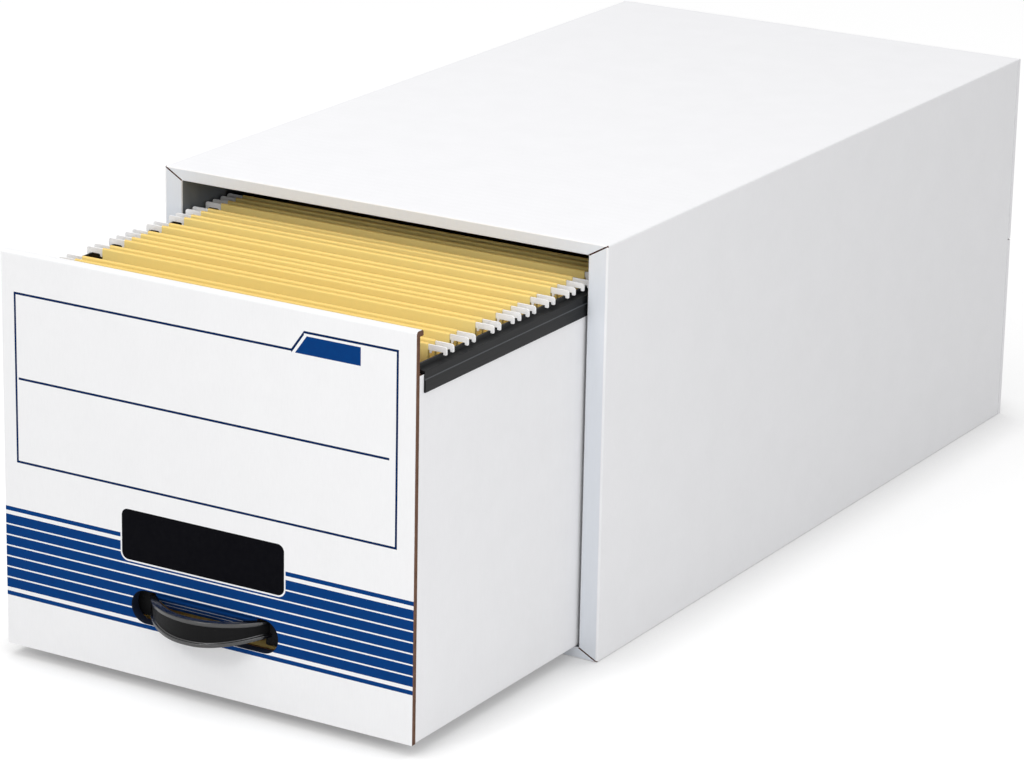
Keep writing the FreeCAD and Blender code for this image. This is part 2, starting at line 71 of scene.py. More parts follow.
camera_data = bpy.data.cameras.new("camera")
camera_data.lens = LENS
camera_data.sensor_width = 36
camera = bpy.data.objects.new("camera", camera_data)
bpy.context.scene.collection.objects.link(camera)
upright = Euler((math.pi / 2 - LOOK_DOWN, 0, TURN_LEFT)).to_matrix()
leaning = (upright @ Matrix.Rotation(LEAN, 3, "Z")).to_4x4()
camera.matrix_world = Matrix.Translation(EYE) @ leaning
bpy.context.scene.camera = camera
bpy.context.scene.view_settings.view_transform = "Standard"
print("camera: lens", LENS, "mm,", round(EYE.length, 2), "m from the box")

# %% [markdown]
# ## Small tools for modelling by hand
# In a window a modeller clicks a face and presses a key. Here the click is a test on the face's
# place, and Blender's own operators do the shaping. An operator acts on all that is selected, so
# every pick starts from nothing selected.

# %% One piece at a time
NEAR = 0.02 * MM


def only(piece):
    """Makes this the one selected and active object."""
    bpy.ops.object.select_all(action="DESELECT")
    piece.select_set(True)
    bpy.context.view_layer.objects.active = piece


@contextmanager
def editing(piece):
    """Edit mode on one piece."""
    only(piece)
    bpy.ops.object.mode_set(mode="EDIT")
    yield
    bpy.ops.object.mode_set(mode="OBJECT")


print("places are the same within", NEAR / MM, "mm")


# %% Tests on a place
def corners(item):
    """The corners of a face or an edge, or the corner itself."""
    return getattr(item, "verts", (item,))


def middle(item):
    """The middle of a face, an edge or a corner."""
    points = [v.co for v in corners(item)]
    return sum(points, Vector()) / len(points)


def at(axis, place):
    """A test: wholly on the plane where this axis has this value."""
    return lambda item: all(abs(v.co[axis] - place) < NEAR for v in corners(item))


def beyond(axis, low, high):
    """A test: the middle is between two places along one axis."""
    return lambda item: low < middle(item)[axis] < high


def along(axis):
    """A test: an edge that runs along this axis."""

    def test(edge):
        run = edge.verts[1].co - edge.verts[0].co
        return abs(abs(run[axis]) - run.length) < NEAR

    return test


def every(*tests):
    """A test that passes what all the others pass."""
    return lambda item: all(test(item) for test in tests)


def some(*tests):
    """A test that passes what at least one of the others passes."""
    return lambda item: any(test(item) for test in tests)


def but_not(test):
    """A test that passes what the other one doesn't."""
    return lambda item: not test(item)


print("tests: at, beyond, along, every, some, but_not")


# %% Picking and pulling
def select(kind, test):
    """In edit mode, selects the corners, edges or faces that pass the test, and nothing else."""
    bpy.ops.mesh.select_mode(type=kind)
    bpy.ops.mesh.select_all(action="DESELECT")
    mesh = bmesh.from_edit_mesh(bpy.context.object.data)
    items = {"VERT": mesh.verts, "EDGE": mesh.edges, "FACE": mesh.faces}[kind]
    chosen = [item for item in items if test(item)]
    for item in chosen:
        item.select_set(True)
    mesh.select_flush_mode()
    bmesh.update_edit_mesh(bpy.context.object.data)
    return len(chosen)


def select_whole():
    """In edit mode, selects the whole piece."""
    bpy.ops.mesh.select_all(action="SELECT")


def move(x=0.0, y=0.0, z=0.0):
    """Moves what is selected."""
    bpy.ops.transform.translate(value=(x, y, z))


def pull(kind, test, **way):
    """Extrudes what passes the test and moves the new part."""
    select(kind, test)
    bpy.ops.mesh.extrude_region_move()
    move(**way)


print("tools: select, select_whole, move, pull")


# %% Slicing, rounding and cleaning
def slice_across(axis, *places):
    """Cuts the whole piece with flat planes across one axis. It stays in one piece."""
    for place in places:
        point, normal = Vector(), Vector()
        point[axis], normal[axis] = place, 1
        select_whole()
        bpy.ops.mesh.bisect(plane_co=point, plane_no=normal)


def bevel(width, segments=2, test=None):
    """Rounds the edges that pass the test, or the selected ones."""
    if test:
        select("EDGE", test)
    bpy.ops.mesh.bevel(offset=width, segments=segments, affect="EDGES", clamp_overlap=True)


def open_up(test):
    """Deletes the faces that pass the test."""
    select("FACE", test)
    bpy.ops.mesh.delete(type="FACE")


def melt_flat():
    """Removes the edges between faces that lie in one plane."""
    select_whole()
    bpy.ops.mesh.dissolve_limited(angle_limit=math.radians(1))


def merge_close(piece):
    """Merges the points that a bevel has left on top of one another."""
    with editing(piece):
        select_whole()
        bpy.ops.mesh.remove_doubles(threshold=NEAR / 4)
        bpy.ops.mesh.dissolve_degenerate(threshold=NEAR / 4)


print("tools: slice_across, bevel, open_up, melt_flat, merge_close")


# %% Fitting to a box
def box_around(points):
    """The lowest and the highest corner of the box around some points."""
    return [Vector(pick(p[i] for p in points) for i in range(3)) for pick in (min, max)]


def span(*nodes):
    """The box around several of the frame's nodes."""
    return box_around([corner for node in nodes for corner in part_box(node)])


def fit_selected(low, high):
    """Moves and stretches what is selected until its box has these corners."""
    mesh = bmesh.from_edit_mesh(bpy.context.object.data)
    was_low, was_high = box_around([v.co for v in mesh.verts if v.select])
    centre, was = (was_low + was_high) / 2, was_high - was_low
    stretch = [(high[i] - low[i]) / was[i] if was[i] > NEAR else 1 for i in range(3)]
    bpy.ops.transform.resize(value=stretch, center_override=centre)
    move(*((low + high) / 2 - centre))


print("tools: box_around, span, fit_selected")

# %% [markdown]
# ## Starting and finishing a piece
# A piece starts as a block or a plane of its real size, with its place in its mesh, which is how
# the frame's own pieces are kept. When its shape is ready it is shaded smooth over its rounded
# edges only, put on the body that carries it, and it stands for the solids that it covers.


# %% Starting a piece
def settled(name):
    """Names the new object and takes its place, turn and size into its mesh."""
    piece = bpy.context.object
    piece.name = piece.data.name = name
    bpy.ops.object.transform_apply(location=True, rotation=True, scale=True)
    return piece


def block(name, low, high):
    """A cube stretched between two corners."""
    low, high = Vector(low), Vector(high)
    bpy.ops.object.select_all(action="DESELECT")
    bpy.ops.mesh.primitive_cube_add(size=1, location=(low + high) / 2)
    bpy.context.object.scale = high - low
    return settled(name)


def plane(name, turn, low, high):
    """A plane that is turned about each axis, and then stretched between two corners."""
    bpy.ops.object.select_all(action="DESELECT")
    bpy.ops.mesh.primitive_plane_add(size=1, rotation=turn)
    piece = settled(name)
    with editing(piece):
        select_whole()
        fit_selected(Vector(low), Vector(high))
    return piece


def copied(model, name, y=0.0):
    """A copy with its own mesh, moved along the drawer."""
    only(model)
    bpy.ops.object.duplicate()
    bpy.context.object.location.y = y
    return settled(name)


print("a piece starts as a block, a plane or a copied piece")


# %% Modifiers
def apply(piece, kind, **settings):
    """Adds a modifier, sets it up and applies it."""
    only(piece)
    modifier = piece.modifiers.new(kind.title(), kind)
    for name, value in settings.items():
        setattr(modifier, name, value)
    bpy.ops.object.modifier_apply(modifier=modifier.name)


def combine(piece, other, operation):
    """Cuts a piece with another one, or joins the other one on. The other one is used up."""
    apply(piece, "BOOLEAN", operation=operation, solver="EXACT", object=other)
    bpy.data.objects.remove(other)


def mirrored(piece, x, y):
    """Completes a piece from its half, across X, Y or both."""
    apply(piece, "MIRROR", use_axis=(x, y, False), merge_threshold=NEAR)
    with editing(piece):
        select_whole()
        bpy.ops.mesh.normals_make_consistent(inside=False)


def round_sharp(piece, width, segments, angle):
    """Rounds all edges that turn by more than this angle."""
    limits = {"limit_method": "ANGLE", "angle_limit": angle}
    apply(piece, "BEVEL", width=width, segments=segments, **limits)


print("modifiers: apply, combine, mirrored, round_sharp")


# %% Materials on a piece, and the last step
def give(piece, *materials):
    """Puts materials in the piece's slots, in this order."""
    piece.data.materials.clear()
    for material in materials:
        piece.data.materials.append(material)


def paint(material, test=None):
    """In edit mode, gives a material to the faces that pass the test, or to the selected ones."""
    if test:
        select("FACE", test)
    piece = bpy.context.object
    piece.active_material_index = piece.data.materials.find(material.name)
    bpy.ops.object.material_slot_assign()


def done(piece, body, slot, *nodes, angle=40):
    """Shades a piece, puts it on its body and lets it stand for its nodes."""
    only(piece)
    bpy.ops.object.shade_smooth_by_angle(angle=math.radians(angle))
    apply(piece, "WEIGHTED_NORMAL", keep_sharp=True, weight=90)
    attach(piece, body)
    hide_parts(*nodes)
    print(f"{piece.name}: {len(piece.data.polygons)} faces, stands for {len(nodes)} nodes")


print("materials: give, paint; last step: done")

# %% [markdown]
# ## Small tools for finishes
# A finish is a tree of nodes. The tools below place a node, join it and hand back its result, so
# that a line of code reads like a line of arithmetic. What more than one finish uses is a group
# with named sockets.


# %% Placing nodes
def feed(tree, socket, value):
    """Joins a socket to another one, or sets it to a plain value."""
    if isinstance(value, bpy.types.NodeSocket):
        tree.links.new(value, socket)
    else:
        socket.default_value = value


def add(tree, kind, inputs=(), **settings):
    """Adds a node, sets it up, and sets or joins its inputs."""
    made = tree.nodes.new(kind)
    for name, value in settings.items():
        setattr(made, name, value)
    for name, value in dict(inputs).items():
        feed(tree, made.inputs[name], value)
    return made


def calc(tree, operation, *values):
    """One step of arithmetic, and the socket with its result."""
    return add(tree, "ShaderNodeMath", enumerate(values), operation=operation).outputs[0]


def vector(tree, operation, *values):
    """One step of arithmetic on places, and the socket with its result."""
    made = add(tree, "ShaderNodeVectorMath", enumerate(values), operation=operation)
    return made.outputs[0]


def mixed(tree, factor, first, second):
    """A colour between two colours."""
    colours = {0: factor, 6: first, 7: second}
    return add(tree, "ShaderNodeMix", colours, data_type="RGBA").outputs[2]


print("nodes: add, calc, vector, mixed")


# %% Masks and ramps
def between(tree, value, low, high):
    """1 where the value is between low and high, and 0 elsewhere."""
    above = calc(tree, "GREATER_THAN", value, low)
    return calc(tree, "MULTIPLY", above, calc(tree, "LESS_THAN", value, high))


def all_of(tree, *masks):
    """1 where every mask is 1."""
    return reduce(lambda one, other: calc(tree, "MULTIPLY", one, other), masks)


def any_of(tree, *masks):
    """1 where at least one mask is 1."""
    return reduce(lambda one, other: calc(tree, "MAXIMUM", one, other), masks)


def ramp(tree, value, start, end, first=0.0, last=1.0):
    """Goes evenly from first to last while the value goes from start to end."""
    inputs = dict(enumerate((value, start, end, first, last)))
    return add(tree, "ShaderNodeMapRange", inputs).outputs[0]


print("masks: between, all_of, any_of, ramp")


# %% Places, noise and colours
def apart(tree, place):
    """The three numbers of a place, as sockets."""
    return add(tree, "ShaderNodeSeparateXYZ", {0: place}).outputs


def noisy(tree, place, scale, detail, stretch=None):
    """Soft noise between 0 and 1. A small stretch along an axis draws it out that way."""
    if stretch:
        place = vector(tree, "MULTIPLY", place, stretch)
    inputs = {"Vector": place, "Scale": scale, "Detail": detail}
    return add(tree, "ShaderNodeTexNoise", inputs).outputs[0]


def rgb(*screen):
    """A colour as it is picked on a screen, 0 to 255, in the numbers that shaders use."""
    shares = [value / 255 for value in screen]
    linear = [s / 12.92 if s <= 0.04045 else ((s + 0.055) / 1.055) ** 2.4 for s in shares]
    return (*linear, 1.0)


print("a screen's middle grey is", round(rgb(128, 128, 128)[0], 3), "of white")


# %% Groups and materials
def new_group(name, inputs, outputs):
    """A shader group with named sockets. Returns it, what it is given and what it gives."""
    group = bpy.data.node_groups.new(name, "ShaderNodeTree")
    for socket, kind, value in inputs:
        kind = "NodeSocket" + kind
        made = group.interface.new_socket(socket, in_out="INPUT", socket_type=kind)
        if value is not None:
            made.default_value = value
    for socket, kind in outputs:
        group.interface.new_socket(socket, in_out="OUTPUT", socket_type="NodeSocket" + kind)
    given, gives = group.nodes.new("NodeGroupInput"), group.nodes.new("NodeGroupOutput")
    return group, given.outputs, gives.inputs


def use(tree, group, **inputs):
    """Places a group in a tree, and returns its outputs."""
    return add(tree, "ShaderNodeGroup", inputs, node_tree=group).outputs


def new_material(name):
    """An empty material. Returns it, its tree, its surface shader and the place on the piece."""
    material = bpy.data.materials.new(name)
    material.use_nodes = True
    tree = material.node_tree
    place = add(tree, "ShaderNodeTexCoord").outputs["Object"]
    return material, tree, tree.nodes["Principled BSDF"], place


def surface(tree, shader, color, roughness, height, depth, shine=0.5):
    """Joins a colour, a roughness and a height to the surface shader. The shine is the strength
    of its plain reflection."""
    bump = add(tree, "ShaderNodeBump", {"Height": height, "Distance": depth})
    feed(tree, shader.inputs["Base Color"], color)
    feed(tree, shader.inputs["Roughness"], roughness)
    feed(tree, shader.inputs["Normal"], bump.outputs["Normal"])
    shader.inputs["Specular IOR Level"].default_value = shine


print("groups: new_group, use; materials: new_material, surface")

# %% [markdown]
# ## Light, floor and background
# White board shows its form only by small differences of tone: the top is brightest, the front
# next, and the sides a little greyer. A wide lamp overhead and one at the front left give that
# order, a weak one lifts the shaded right side, and an even white world fills the rest. The floor
# is white too. Part of its light is a glow that only the camera and reflections see, so the
# ground fades to white. An Ambient Occlusion node weakens the glow close to the box, or it would
# wash out the soft dark line that a box has where it stands.

# %% World
WORLD_STRENGTH = 0.7
WHITE = rgb(255, 255, 255)


def seen_rays(tree):
    """1 for rays from the camera, a mirror or glass, and 0 for the rays that light things."""
    rays = add(tree, "ShaderNodeLightPath").outputs
    kinds = ("Is Camera Ray", "Is Glossy Ray", "Is Transmission Ray")
    return any_of(tree, *(rays[kind] for kind in kinds))


world = bpy.data.worlds.new("studio")
world.use_nodes = True
bpy.context.scene.world = world
tree = world.node_tree
sky = tree.nodes["Background"].inputs
strength = calc(tree, "MULTIPLY_ADD", seen_rays(tree), 1 - WORLD_STRENGTH, WORLD_STRENGTH)
feed(tree, sky["Color"], WHITE)
feed(tree, sky["Strength"], strength)
print("the world lights with", WORLD_STRENGTH, "of white")

# %% Floor
FLOOR_SIZE = 60
FLOOR_TONES = rgb(216, 216, 216), rgb(220, 220, 220)
FLOOR_CLOUDS = 0.8
FLOOR_GLOW = 0.42
SHADOW_REACH = 42 * MM
HALF_COVERED = 0.5
GLOW_KEPT = 0.4

bpy.ops.object.select_all(action="DESELECT")
bpy.ops.mesh.primitive_plane_add(size=FLOOR_SIZE)
floor = bpy.context.object
floor.name = "floor"
floor_white, tree, shader, place = new_material("floor_white")
cloud = noisy(tree, place, FLOOR_CLOUDS, 2)
feed(tree, shader.inputs["Base Color"], mixed(tree, cloud, *FLOOR_TONES))
shader.inputs["Roughness"].default_value = 0.9
shader.inputs["Specular IOR Level"].default_value = 0.0
reach = {"Distance": SHADOW_REACH}
openness = add(tree, "ShaderNodeAmbientOcclusion", reach, samples=4).outputs["AO"]
fade = ramp(tree, openness, HALF_COVERED, 1.0, first=GLOW_KEPT)
share = all_of(tree, seen_rays(tree), calc(tree, "MULTIPLY", fade, FLOOR_GLOW))
glow = add(tree, "ShaderNodeEmission", {"Color": WHITE, "Strength": share})
both = add(tree, "ShaderNodeAddShader", {0: shader.outputs[0], 1: glow.outputs[0]})
feed(tree, tree.nodes["Material Output"].inputs["Surface"], both.outputs[0])
give(floor, floor_white)
print("floor:", FLOOR_SIZE, "m wide, glow", FLOOR_GLOW)

# %% Lamps
LAMPS = (  # name, place, aim, size in m, power in W
    ("lamp_above", (-0.3, -0.7, 2.3), (0.0, 0.0, 0.2), 2.4, 14.0),
    ("lamp_front", (-0.6, -2.8, 2.2), (0.0, -0.3, 0.15), 0.9, 19.0),
    ("lamp_side", (1.2, -1.2, 0.5), (0.15, -0.4, 0.15), 0.8, 3.6),
)
for name, lamp_place, aim, size, power in LAMPS:
    lamp = bpy.data.objects.new(name, bpy.data.lights.new(name, "AREA"))
    lamp.data.shape = "DISK"
    lamp.data.size = size
    lamp.data.energy = power
    lamp.location = lamp_place
    ray = Vector(aim) - Vector(lamp_place)
    lamp.rotation_euler = ray.to_track_quat("-Z", "Y").to_euler()
    bpy.context.scene.collection.objects.link(lamp)
print("lamps:", len(LAMPS))

# %% [markdown]
# ## Paper, flutes and cut edges
# Corrugated board is two liners glued to a wavy sheet. The outer liner here is white paper with
# short upright fibres, and over the wavy sheet's crests it swells by a few hundredths of a
# millimetre. Inside, the liner is plain kraft. Where the board is cut, brown kraft shows between
# the liners. Fibres and flutes are two small groups of nodes, which every board uses with its own
# numbers.

# %% The paper group
FIBRES_UPRIGHT = (1, 1, 0.16)
FIBRE_SCALE = 900
BLOTCH_SCALE = 38
FIBRE_SHARE = 0.8
BLOTCH_SHARE = 0.7
paper, given, gives = new_group(
    "paper_fibres",
    [("Place", "Vector", None), ("Colour", "Color", rgb(240, 240, 240)), ("Mottle", "Float", 0.02)],
    [("Colour", "Color"), ("Roughness", "Float"), ("Height", "Float")],
)
fibre = noisy(paper, given["Place"], FIBRE_SCALE, 3, FIBRES_UPRIGHT)
blotch = noisy(paper, given["Place"], BLOTCH_SCALE, 4)
fine = calc(paper, "SUBTRACT", fibre, 0.5)
broad = calc(paper, "SUBTRACT", blotch, 0.5)
broad_part = calc(paper, "MULTIPLY", broad, BLOTCH_SHARE)
tone = calc(paper, "ADD", calc(paper, "MULTIPLY", fine, FIBRE_SHARE), broad_part)
shade = calc(paper, "MULTIPLY_ADD", tone, given["Mottle"], 1.0)
scaled = add(paper, "ShaderNodeVectorMath", {0: given["Colour"], 3: shade}, operation="SCALE")
feed(paper, gives["Colour"], scaled.outputs[0])
feed(paper, gives["Roughness"], calc(paper, "MULTIPLY_ADD", fine, 0.3, 0.78))
feed(paper, gives["Height"], fibre)
print("paper: fibres about", round(1 / FIBRE_SCALE / MM, 1), "mm wide")

# %% The flute group
FLUTE_PITCH = 7.8 * MM
flutes, given, gives = new_group(
    "flute_swell",
    [("Across", "Float", 0.0), ("Pitch", "Float", FLUTE_PITCH)],
    [("Swell", "Float")],
)
turns = calc(flutes, "DIVIDE", given["Across"], given["Pitch"])
wave = calc(flutes, "SINE", calc(flutes, "MULTIPLY", turns, 2 * math.pi))
feed(flutes, gives["Swell"], calc(flutes, "MULTIPLY_ADD", wave, 0.5, 0.5))
print("flutes:", round(FLUTE_PITCH / MM, 1), "mm apart")

# %% Board finishes
SWELL = 0.045 * MM
FIBRE_HEIGHT = 0.006 * MM
BOARD_SHINE = 0.25


def board_relief(tree, skin, across):
    """The height of a board's skin: its fibres, and its swell over the flutes."""
    swell = use(tree, flutes, Across=across, Pitch=FLUTE_PITCH)["Swell"]
    fine = calc(tree, "MULTIPLY", skin["Height"], FIBRE_HEIGHT)
    return calc(tree, "MULTIPLY_ADD", swell, SWELL, fine)


def board_finish(name, colour, mottle, across):
    """Board whose flutes are counted along one axis of the piece."""
    material, tree, shader, place = new_material(name)
    skin = use(tree, paper, Place=place, Colour=colour, Mottle=mottle)
    relief = board_relief(tree, skin, apart(tree, place)[across])
    surface(tree, shader, skin["Colour"], skin["Roughness"], relief, 1.0, BOARD_SHINE)
    return material


white_board = board_finish("white_board", rgb(243, 243, 245), 0.06, Y)
# The lips are the same white board, made greyer: painted shade.
painted_shade_lip_board = board_finish("painted_shade_lip_board", rgb(226, 230, 236), 0.06, X)
kraft_inside = board_finish("kraft_inside", rgb(168, 134, 96), 0.18, Y)
# A grey board made darker as painted shade, for the shaded inside of the sleeve.
grey_lining = board_finish("grey_lining", rgb(124, 129, 134), 0.12, Y)
print("the skin swells by", round(SWELL / MM, 3), "mm over each flute")

# %% The cut edge
STREAKS_UPRIGHT = (1, 1, 0.1)
STREAK_SCALE = 700
PATCH_SCALE = 150
CUT_RELIEF = 0.3 * MM
CUT_SHINE = 0.15


def cut_finish(name, dark, pale):
    """The side of the wavy sheet: short streaks in two tones, under a rough skin."""
    material, tree, shader, place = new_material(name)
    streak = noisy(tree, place, STREAK_SCALE, 5, STREAKS_UPRIGHT)
    patch = noisy(tree, place, PATCH_SCALE, 3)
    worn = calc(tree, "MULTIPLY_ADD", patch, 0.7, calc(tree, "MULTIPLY", streak, 0.5))
    rough = calc(tree, "MULTIPLY_ADD", streak, 0.2, 0.75)
    surface(tree, shader, mixed(tree, worn, dark, pale), rough, worn, CUT_RELIEF, CUT_SHINE)
    return material


cut_board = cut_finish("cut_board", rgb(62, 42, 36), rgb(134, 102, 84))
seam_board = cut_finish("seam_board", rgb(58, 34, 28), rgb(98, 62, 50))
# The slot's walls are cut board in dark navy: painted shade inside the slot.
painted_shade_slot_edge = cut_finish("painted_shade_slot_edge", rgb(12, 17, 30), rgb(30, 38, 56))
print("cut edges:", cut_board.name, seam_board.name, painted_shade_slot_edge.name)

# %% [markdown]
# ## The sleeve
# On the real box one sheet is folded round, and at the front each wall turns in to a narrow lip.
# The four lips meet in mitres, where a thin line of kraft shows. So the sleeve is one piece: a
# block loses its back, its front is inset to the lips and opened, Solidify gives the board its
# thickness inwards, and then the folds are rounded.

# %% The sleeve's measures
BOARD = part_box("shell_top")[1].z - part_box("shell_top")[0].z
FOLD = 1.3 * MM
LIP_FOLD = 0.6 * MM
LIPS = ("front_lip_top", "front_lip_bottom", "front_lip_left", "front_lip_right")
WALLS = ("shell_top", "shell_bottom", "shell_side_left", "shell_side_right")
sleeve_low, sleeve_high = span(*WALLS, *LIPS)
front = sleeve_low.y
opening_low = Vector((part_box("front_lip_left")[1].x, front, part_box("front_lip_bottom")[1].z))
opening_high = Vector((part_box("front_lip_right")[0].x, front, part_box("front_lip_top")[0].z))
print("opening, mm:", [round(v / MM, 1) for v in opening_high - opening_low])


# %% Sleeve board
def outside_edge(low, high):
    """A test: an edge of a box, which lies on two of its outer planes."""
    planes = [at(i, side[i]) for i in range(3) for side in (low, high)]
    return lambda edge: sum(plane_test(edge) for plane_test in planes) >= 2


sleeve = block("sleeve_board", sleeve_low, sleeve_high)
give(sleeve, white_board, painted_shade_lip_board, grey_lining, seam_board)
with editing(sleeve):
    open_up(at(Y, sleeve_high.y))
    select("FACE", at(Y, front))
    bpy.ops.mesh.inset(thickness=opening_low.z)
    fit_selected(opening_low, opening_high)
    bpy.ops.mesh.delete(type="FACE")
apply(sleeve, "SOLIDIFY", thickness=BOARD, offset=-1, use_even_offset=True)
with editing(sleeve):
    back_folds = every(at(Y, sleeve_high.y), along(X))
    bevel(FOLD, 4, every(outside_edge(sleeve_low, sleeve_high), but_not(back_folds)))
    rim = some(*(at(i, side[i]) for i in (X, Z) for side in (opening_low, opening_high)))
    bevel(LIP_FOLD, 3, every(at(Y, front), rim))
print("board", round(BOARD / MM, 2), "mm thick,", len(sleeve.data.polygons), "faces so far")

# %% Mitred corners of the lips
SEAM = 0.55 * MM
SEAM_DEPTH = 0.9 * MM


def near_line(start, end, reach):
    """A test: everything of the item is this near to a line."""
    run = (end - start).normalized()

    def distance(corner):
        off = corner.co - start
        return (off - run * run.dot(off)).length

    return lambda item: all(distance(v) < reach for v in corners(item))


def mitre_edge(edge):
    """A test: one of the four slanting edges on the lips' face."""
    run = edge.verts[1].co - edge.verts[0].co
    return at(Y, front)(edge) and min(abs(run.x), abs(run.z)) > LIP_FOLD


with editing(sleeve):
    mitres = select("EDGE", mitre_edge)
    mesh = bmesh.from_edit_mesh(sleeve.data)
    lines = [[v.co.copy() for v in edge.verts] for edge in mesh.edges if edge.select]
    bevel(SEAM)
    for start, end in lines:
        select("EDGE", near_line(start, end, SEAM / 4))
        move(y=SEAM_DEPTH)
print("mitres:", mitres)


# %% Painting the sleeve
def inside(low, high):
    """A test: the middle lies in a box, or on its side."""
    return every(*(beyond(i, low[i] - NEAR, high[i] + NEAR) for i in range(3)))


inner_low = sleeve_low + Vector((BOARD, BOARD, BOARD))
inner_high = sleeve_high - Vector((BOARD, -BOARD, BOARD))
with editing(sleeve):
    # The inside and the rim round the opening take the dark grey board: painted shade.
    paint(grey_lining, inside(inner_low, inner_high))
    paint(grey_lining, every(beyond(Y, front, front + BOARD + NEAR), rim))
    # The lips take the greyer board, which is painted shade.
    paint(painted_shade_lip_board, at(Y, front))
    paint(seam_board, some(*(near_line(*line, SEAM + SEAM_DEPTH) for line in lines)))
done(sleeve, "sleeve", "white_board", *WALLS, *LIPS)

# %% [markdown]
# ## The back flaps
# The back is closed by two pairs of flaps. The outer pair comes from the top and the bottom wall,
# so each has a rounded fold there, and a cut edge where the two meet. A cut edge is made by an
# inset that steps inwards: the narrow rim left round it is the liner's thickness, and the sunk
# strip is the wavy sheet between the liners.

# %% Back flaps
LINER = 0.45 * MM
CUT_DEPTH = 0.6 * MM


def cut_edges(test):
    """In edit mode, sinks the wavy sheet between the liners on each face that passes the test."""
    select("FACE", test)
    bpy.ops.mesh.inset(thickness=LINER, depth=-CUT_DEPTH, use_individual=True)
    paint(cut_board)


def back_flap(name, node, fold, seam):
    """One outer flap, with the height of its fold and of its seam with the other one."""
    low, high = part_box(node)
    piece = block(name, low, high)
    give(piece, white_board, cut_board)
    with editing(piece):
        bevel(FOLD, 4, every(at(Y, high.y), at(Z, fold)))
        cut_edges(at(Z, seam))
    return done(piece, "sleeve", "white_board", node)


top_low, top_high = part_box("back_flap_outer_top")
bottom_low, bottom_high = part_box("back_flap_outer_bottom")
back_flap("back_flap_top", "back_flap_outer_top", top_high.z, top_low.z)
back_flap("back_flap_bottom", "back_flap_outer_bottom", bottom_low.z, bottom_high.z)

# %% [markdown]
# ## What stays inside the sleeve
# The tucks, the second floor, the inner flaps and the two steel frames are flat pieces whose
# solids already have their true shape, so they stay as the frame has them and only take a
# finish. The tucks and the inner flaps take the dark grey board, a grey made darker as painted
# shade for the shade inside the sleeve. Galvanised steel is a metal with pale and dark crystals,
# which a Voronoi texture gives.

# %% Galvanised steel
CRYSTAL_SCALE = 140
STEEL_GRAIN = 300
STEEL_RELIEF = 0.02 * MM
sheet_steel, tree, shader, place = new_material("sheet_steel")
crystal = add(tree, "ShaderNodeTexVoronoi", {"Vector": place, "Scale": CRYSTAL_SCALE})
flake = add(tree, "ShaderNodeSeparateColor", {0: crystal.outputs["Color"]}).outputs[0]
drawn = noisy(tree, place, STEEL_GRAIN, 3)
steel_tone = mixed(tree, flake, rgb(146, 150, 154), rgb(186, 190, 193))
steel_rough = calc(tree, "MULTIPLY_ADD", flake, 0.12, calc(tree, "MULTIPLY", drawn, 0.4))
surface(tree, shader, steel_tone, steel_rough, drawn, STEEL_RELIEF)
shader.inputs["Metallic"].default_value = 0.9
print("steel: crystals about", round(1 / CRYSTAL_SCALE / MM), "mm wide")

# %% Pieces that keep their solids
# The dark grey board on the tucks and inner flaps is painted shade.
FINISHES = {
    "front_tuck_top": grey_lining,
    "front_tuck_left": grey_lining,
    "front_tuck_right": grey_lining,
    "floor_liner": white_board,
    "back_flap_inner_left": grey_lining,
    "back_flap_inner_right": grey_lining,
    "front_steel_frame": sheet_steel,
    "rear_steel_frame": sheet_steel,
    "drawer_back_inner": kraft_inside,
}
for node, material in FINISHES.items():
    give(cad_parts[node], material)
print("nodes that keep their solids:", len(FINISHES))

# %% [markdown]
# ## The printed front
# The drawer's front is printed in one blue: a ruled frame to write in, with a step and a small
# tab at its right end, and a band of stripes behind the handle, with a plain black plate on it.
# The shader draws all this from the place on the panel: a line is where a distance lies between
# two numbers. All distances are millimetres from the panel's top left corner.

# %% Where the ink goes
FRAME_LEFT, FRAME_RIGHT = 10.2, 308.8
FRAME_TOP, FRAME_RAISED, FRAME_BOTTOM = 27.0, 13.8, 145.0
STEP_START, STEP_END = 228.8, 238.3
RULE_HEIGHT, RULE_START, RULE_END = 86.2, 13.0, 302.5
LINE = 1.6
TAB_LEFT, TAB_RIGHT, TAB_TOP, TAB_BOTTOM = 231.6, 280.8, 17.0, 29.2
BAND_TOP, THIN_STRIPE, WHITE_GAP = 177.0, 3.0, 2.7
BARS, BAR_PITCH, BAR_LINE = 7, 7.55, 1.0
PLATE_MIDDLE = (159.6, 177.0)
PLATE_HALF = (64.0, 17.5)
PLATE_ROUND, PLATE_BORDER = 5.0, 1.1
print("ruled frame:", round(FRAME_RIGHT - FRAME_LEFT, 1), "mm wide")

# %% The artwork group
WOBBLE = (0.16, 0.16, 0)
WOBBLE_SCALE = 1.3
art, given, gives = new_group(
    "front_artwork",
    [("Place", "Vector", None)],
    [("Blue", "Float"), ("Navy", "Float"), ("Black", "Float"), ("Bare", "Float")],
)
inputs = {"Vector": given["Place"], "Scale": WOBBLE_SCALE, "Detail": 2}
wobble = add(art, "ShaderNodeTexNoise", inputs).outputs["Color"]
shaken = vector(art, "MULTIPLY_ADD", wobble, WOBBLE, given["Place"])
across, down, _ = apart(art, shaken)
print("the ink's edges wander by up to", WOBBLE[0], "mm")

# %% Ruled frame, rule and tab
slope = (FRAME_TOP - FRAME_RAISED) / (STEP_END - STEP_START)
lean = 1 / slope
steep = math.hypot(1, slope) - 1
on_step = between(art, across, STEP_START, STEP_END)
top = ramp(art, across, STEP_START, STEP_END, FRAME_TOP, FRAME_RAISED)
below_top = calc(art, "SUBTRACT", down, top)
below_top = calc(art, "DIVIDE", below_top, calc(art, "MULTIPLY_ADD", on_step, steep, 1.0))


def in_frame(inset):
    """1 inside the ruled frame, this far in from its outline."""
    return all_of(
        art,
        calc(art, "GREATER_THAN", below_top, inset),
        calc(art, "LESS_THAN", down, FRAME_BOTTOM - inset),
        between(art, across, FRAME_LEFT + inset, FRAME_RIGHT - inset),
    )


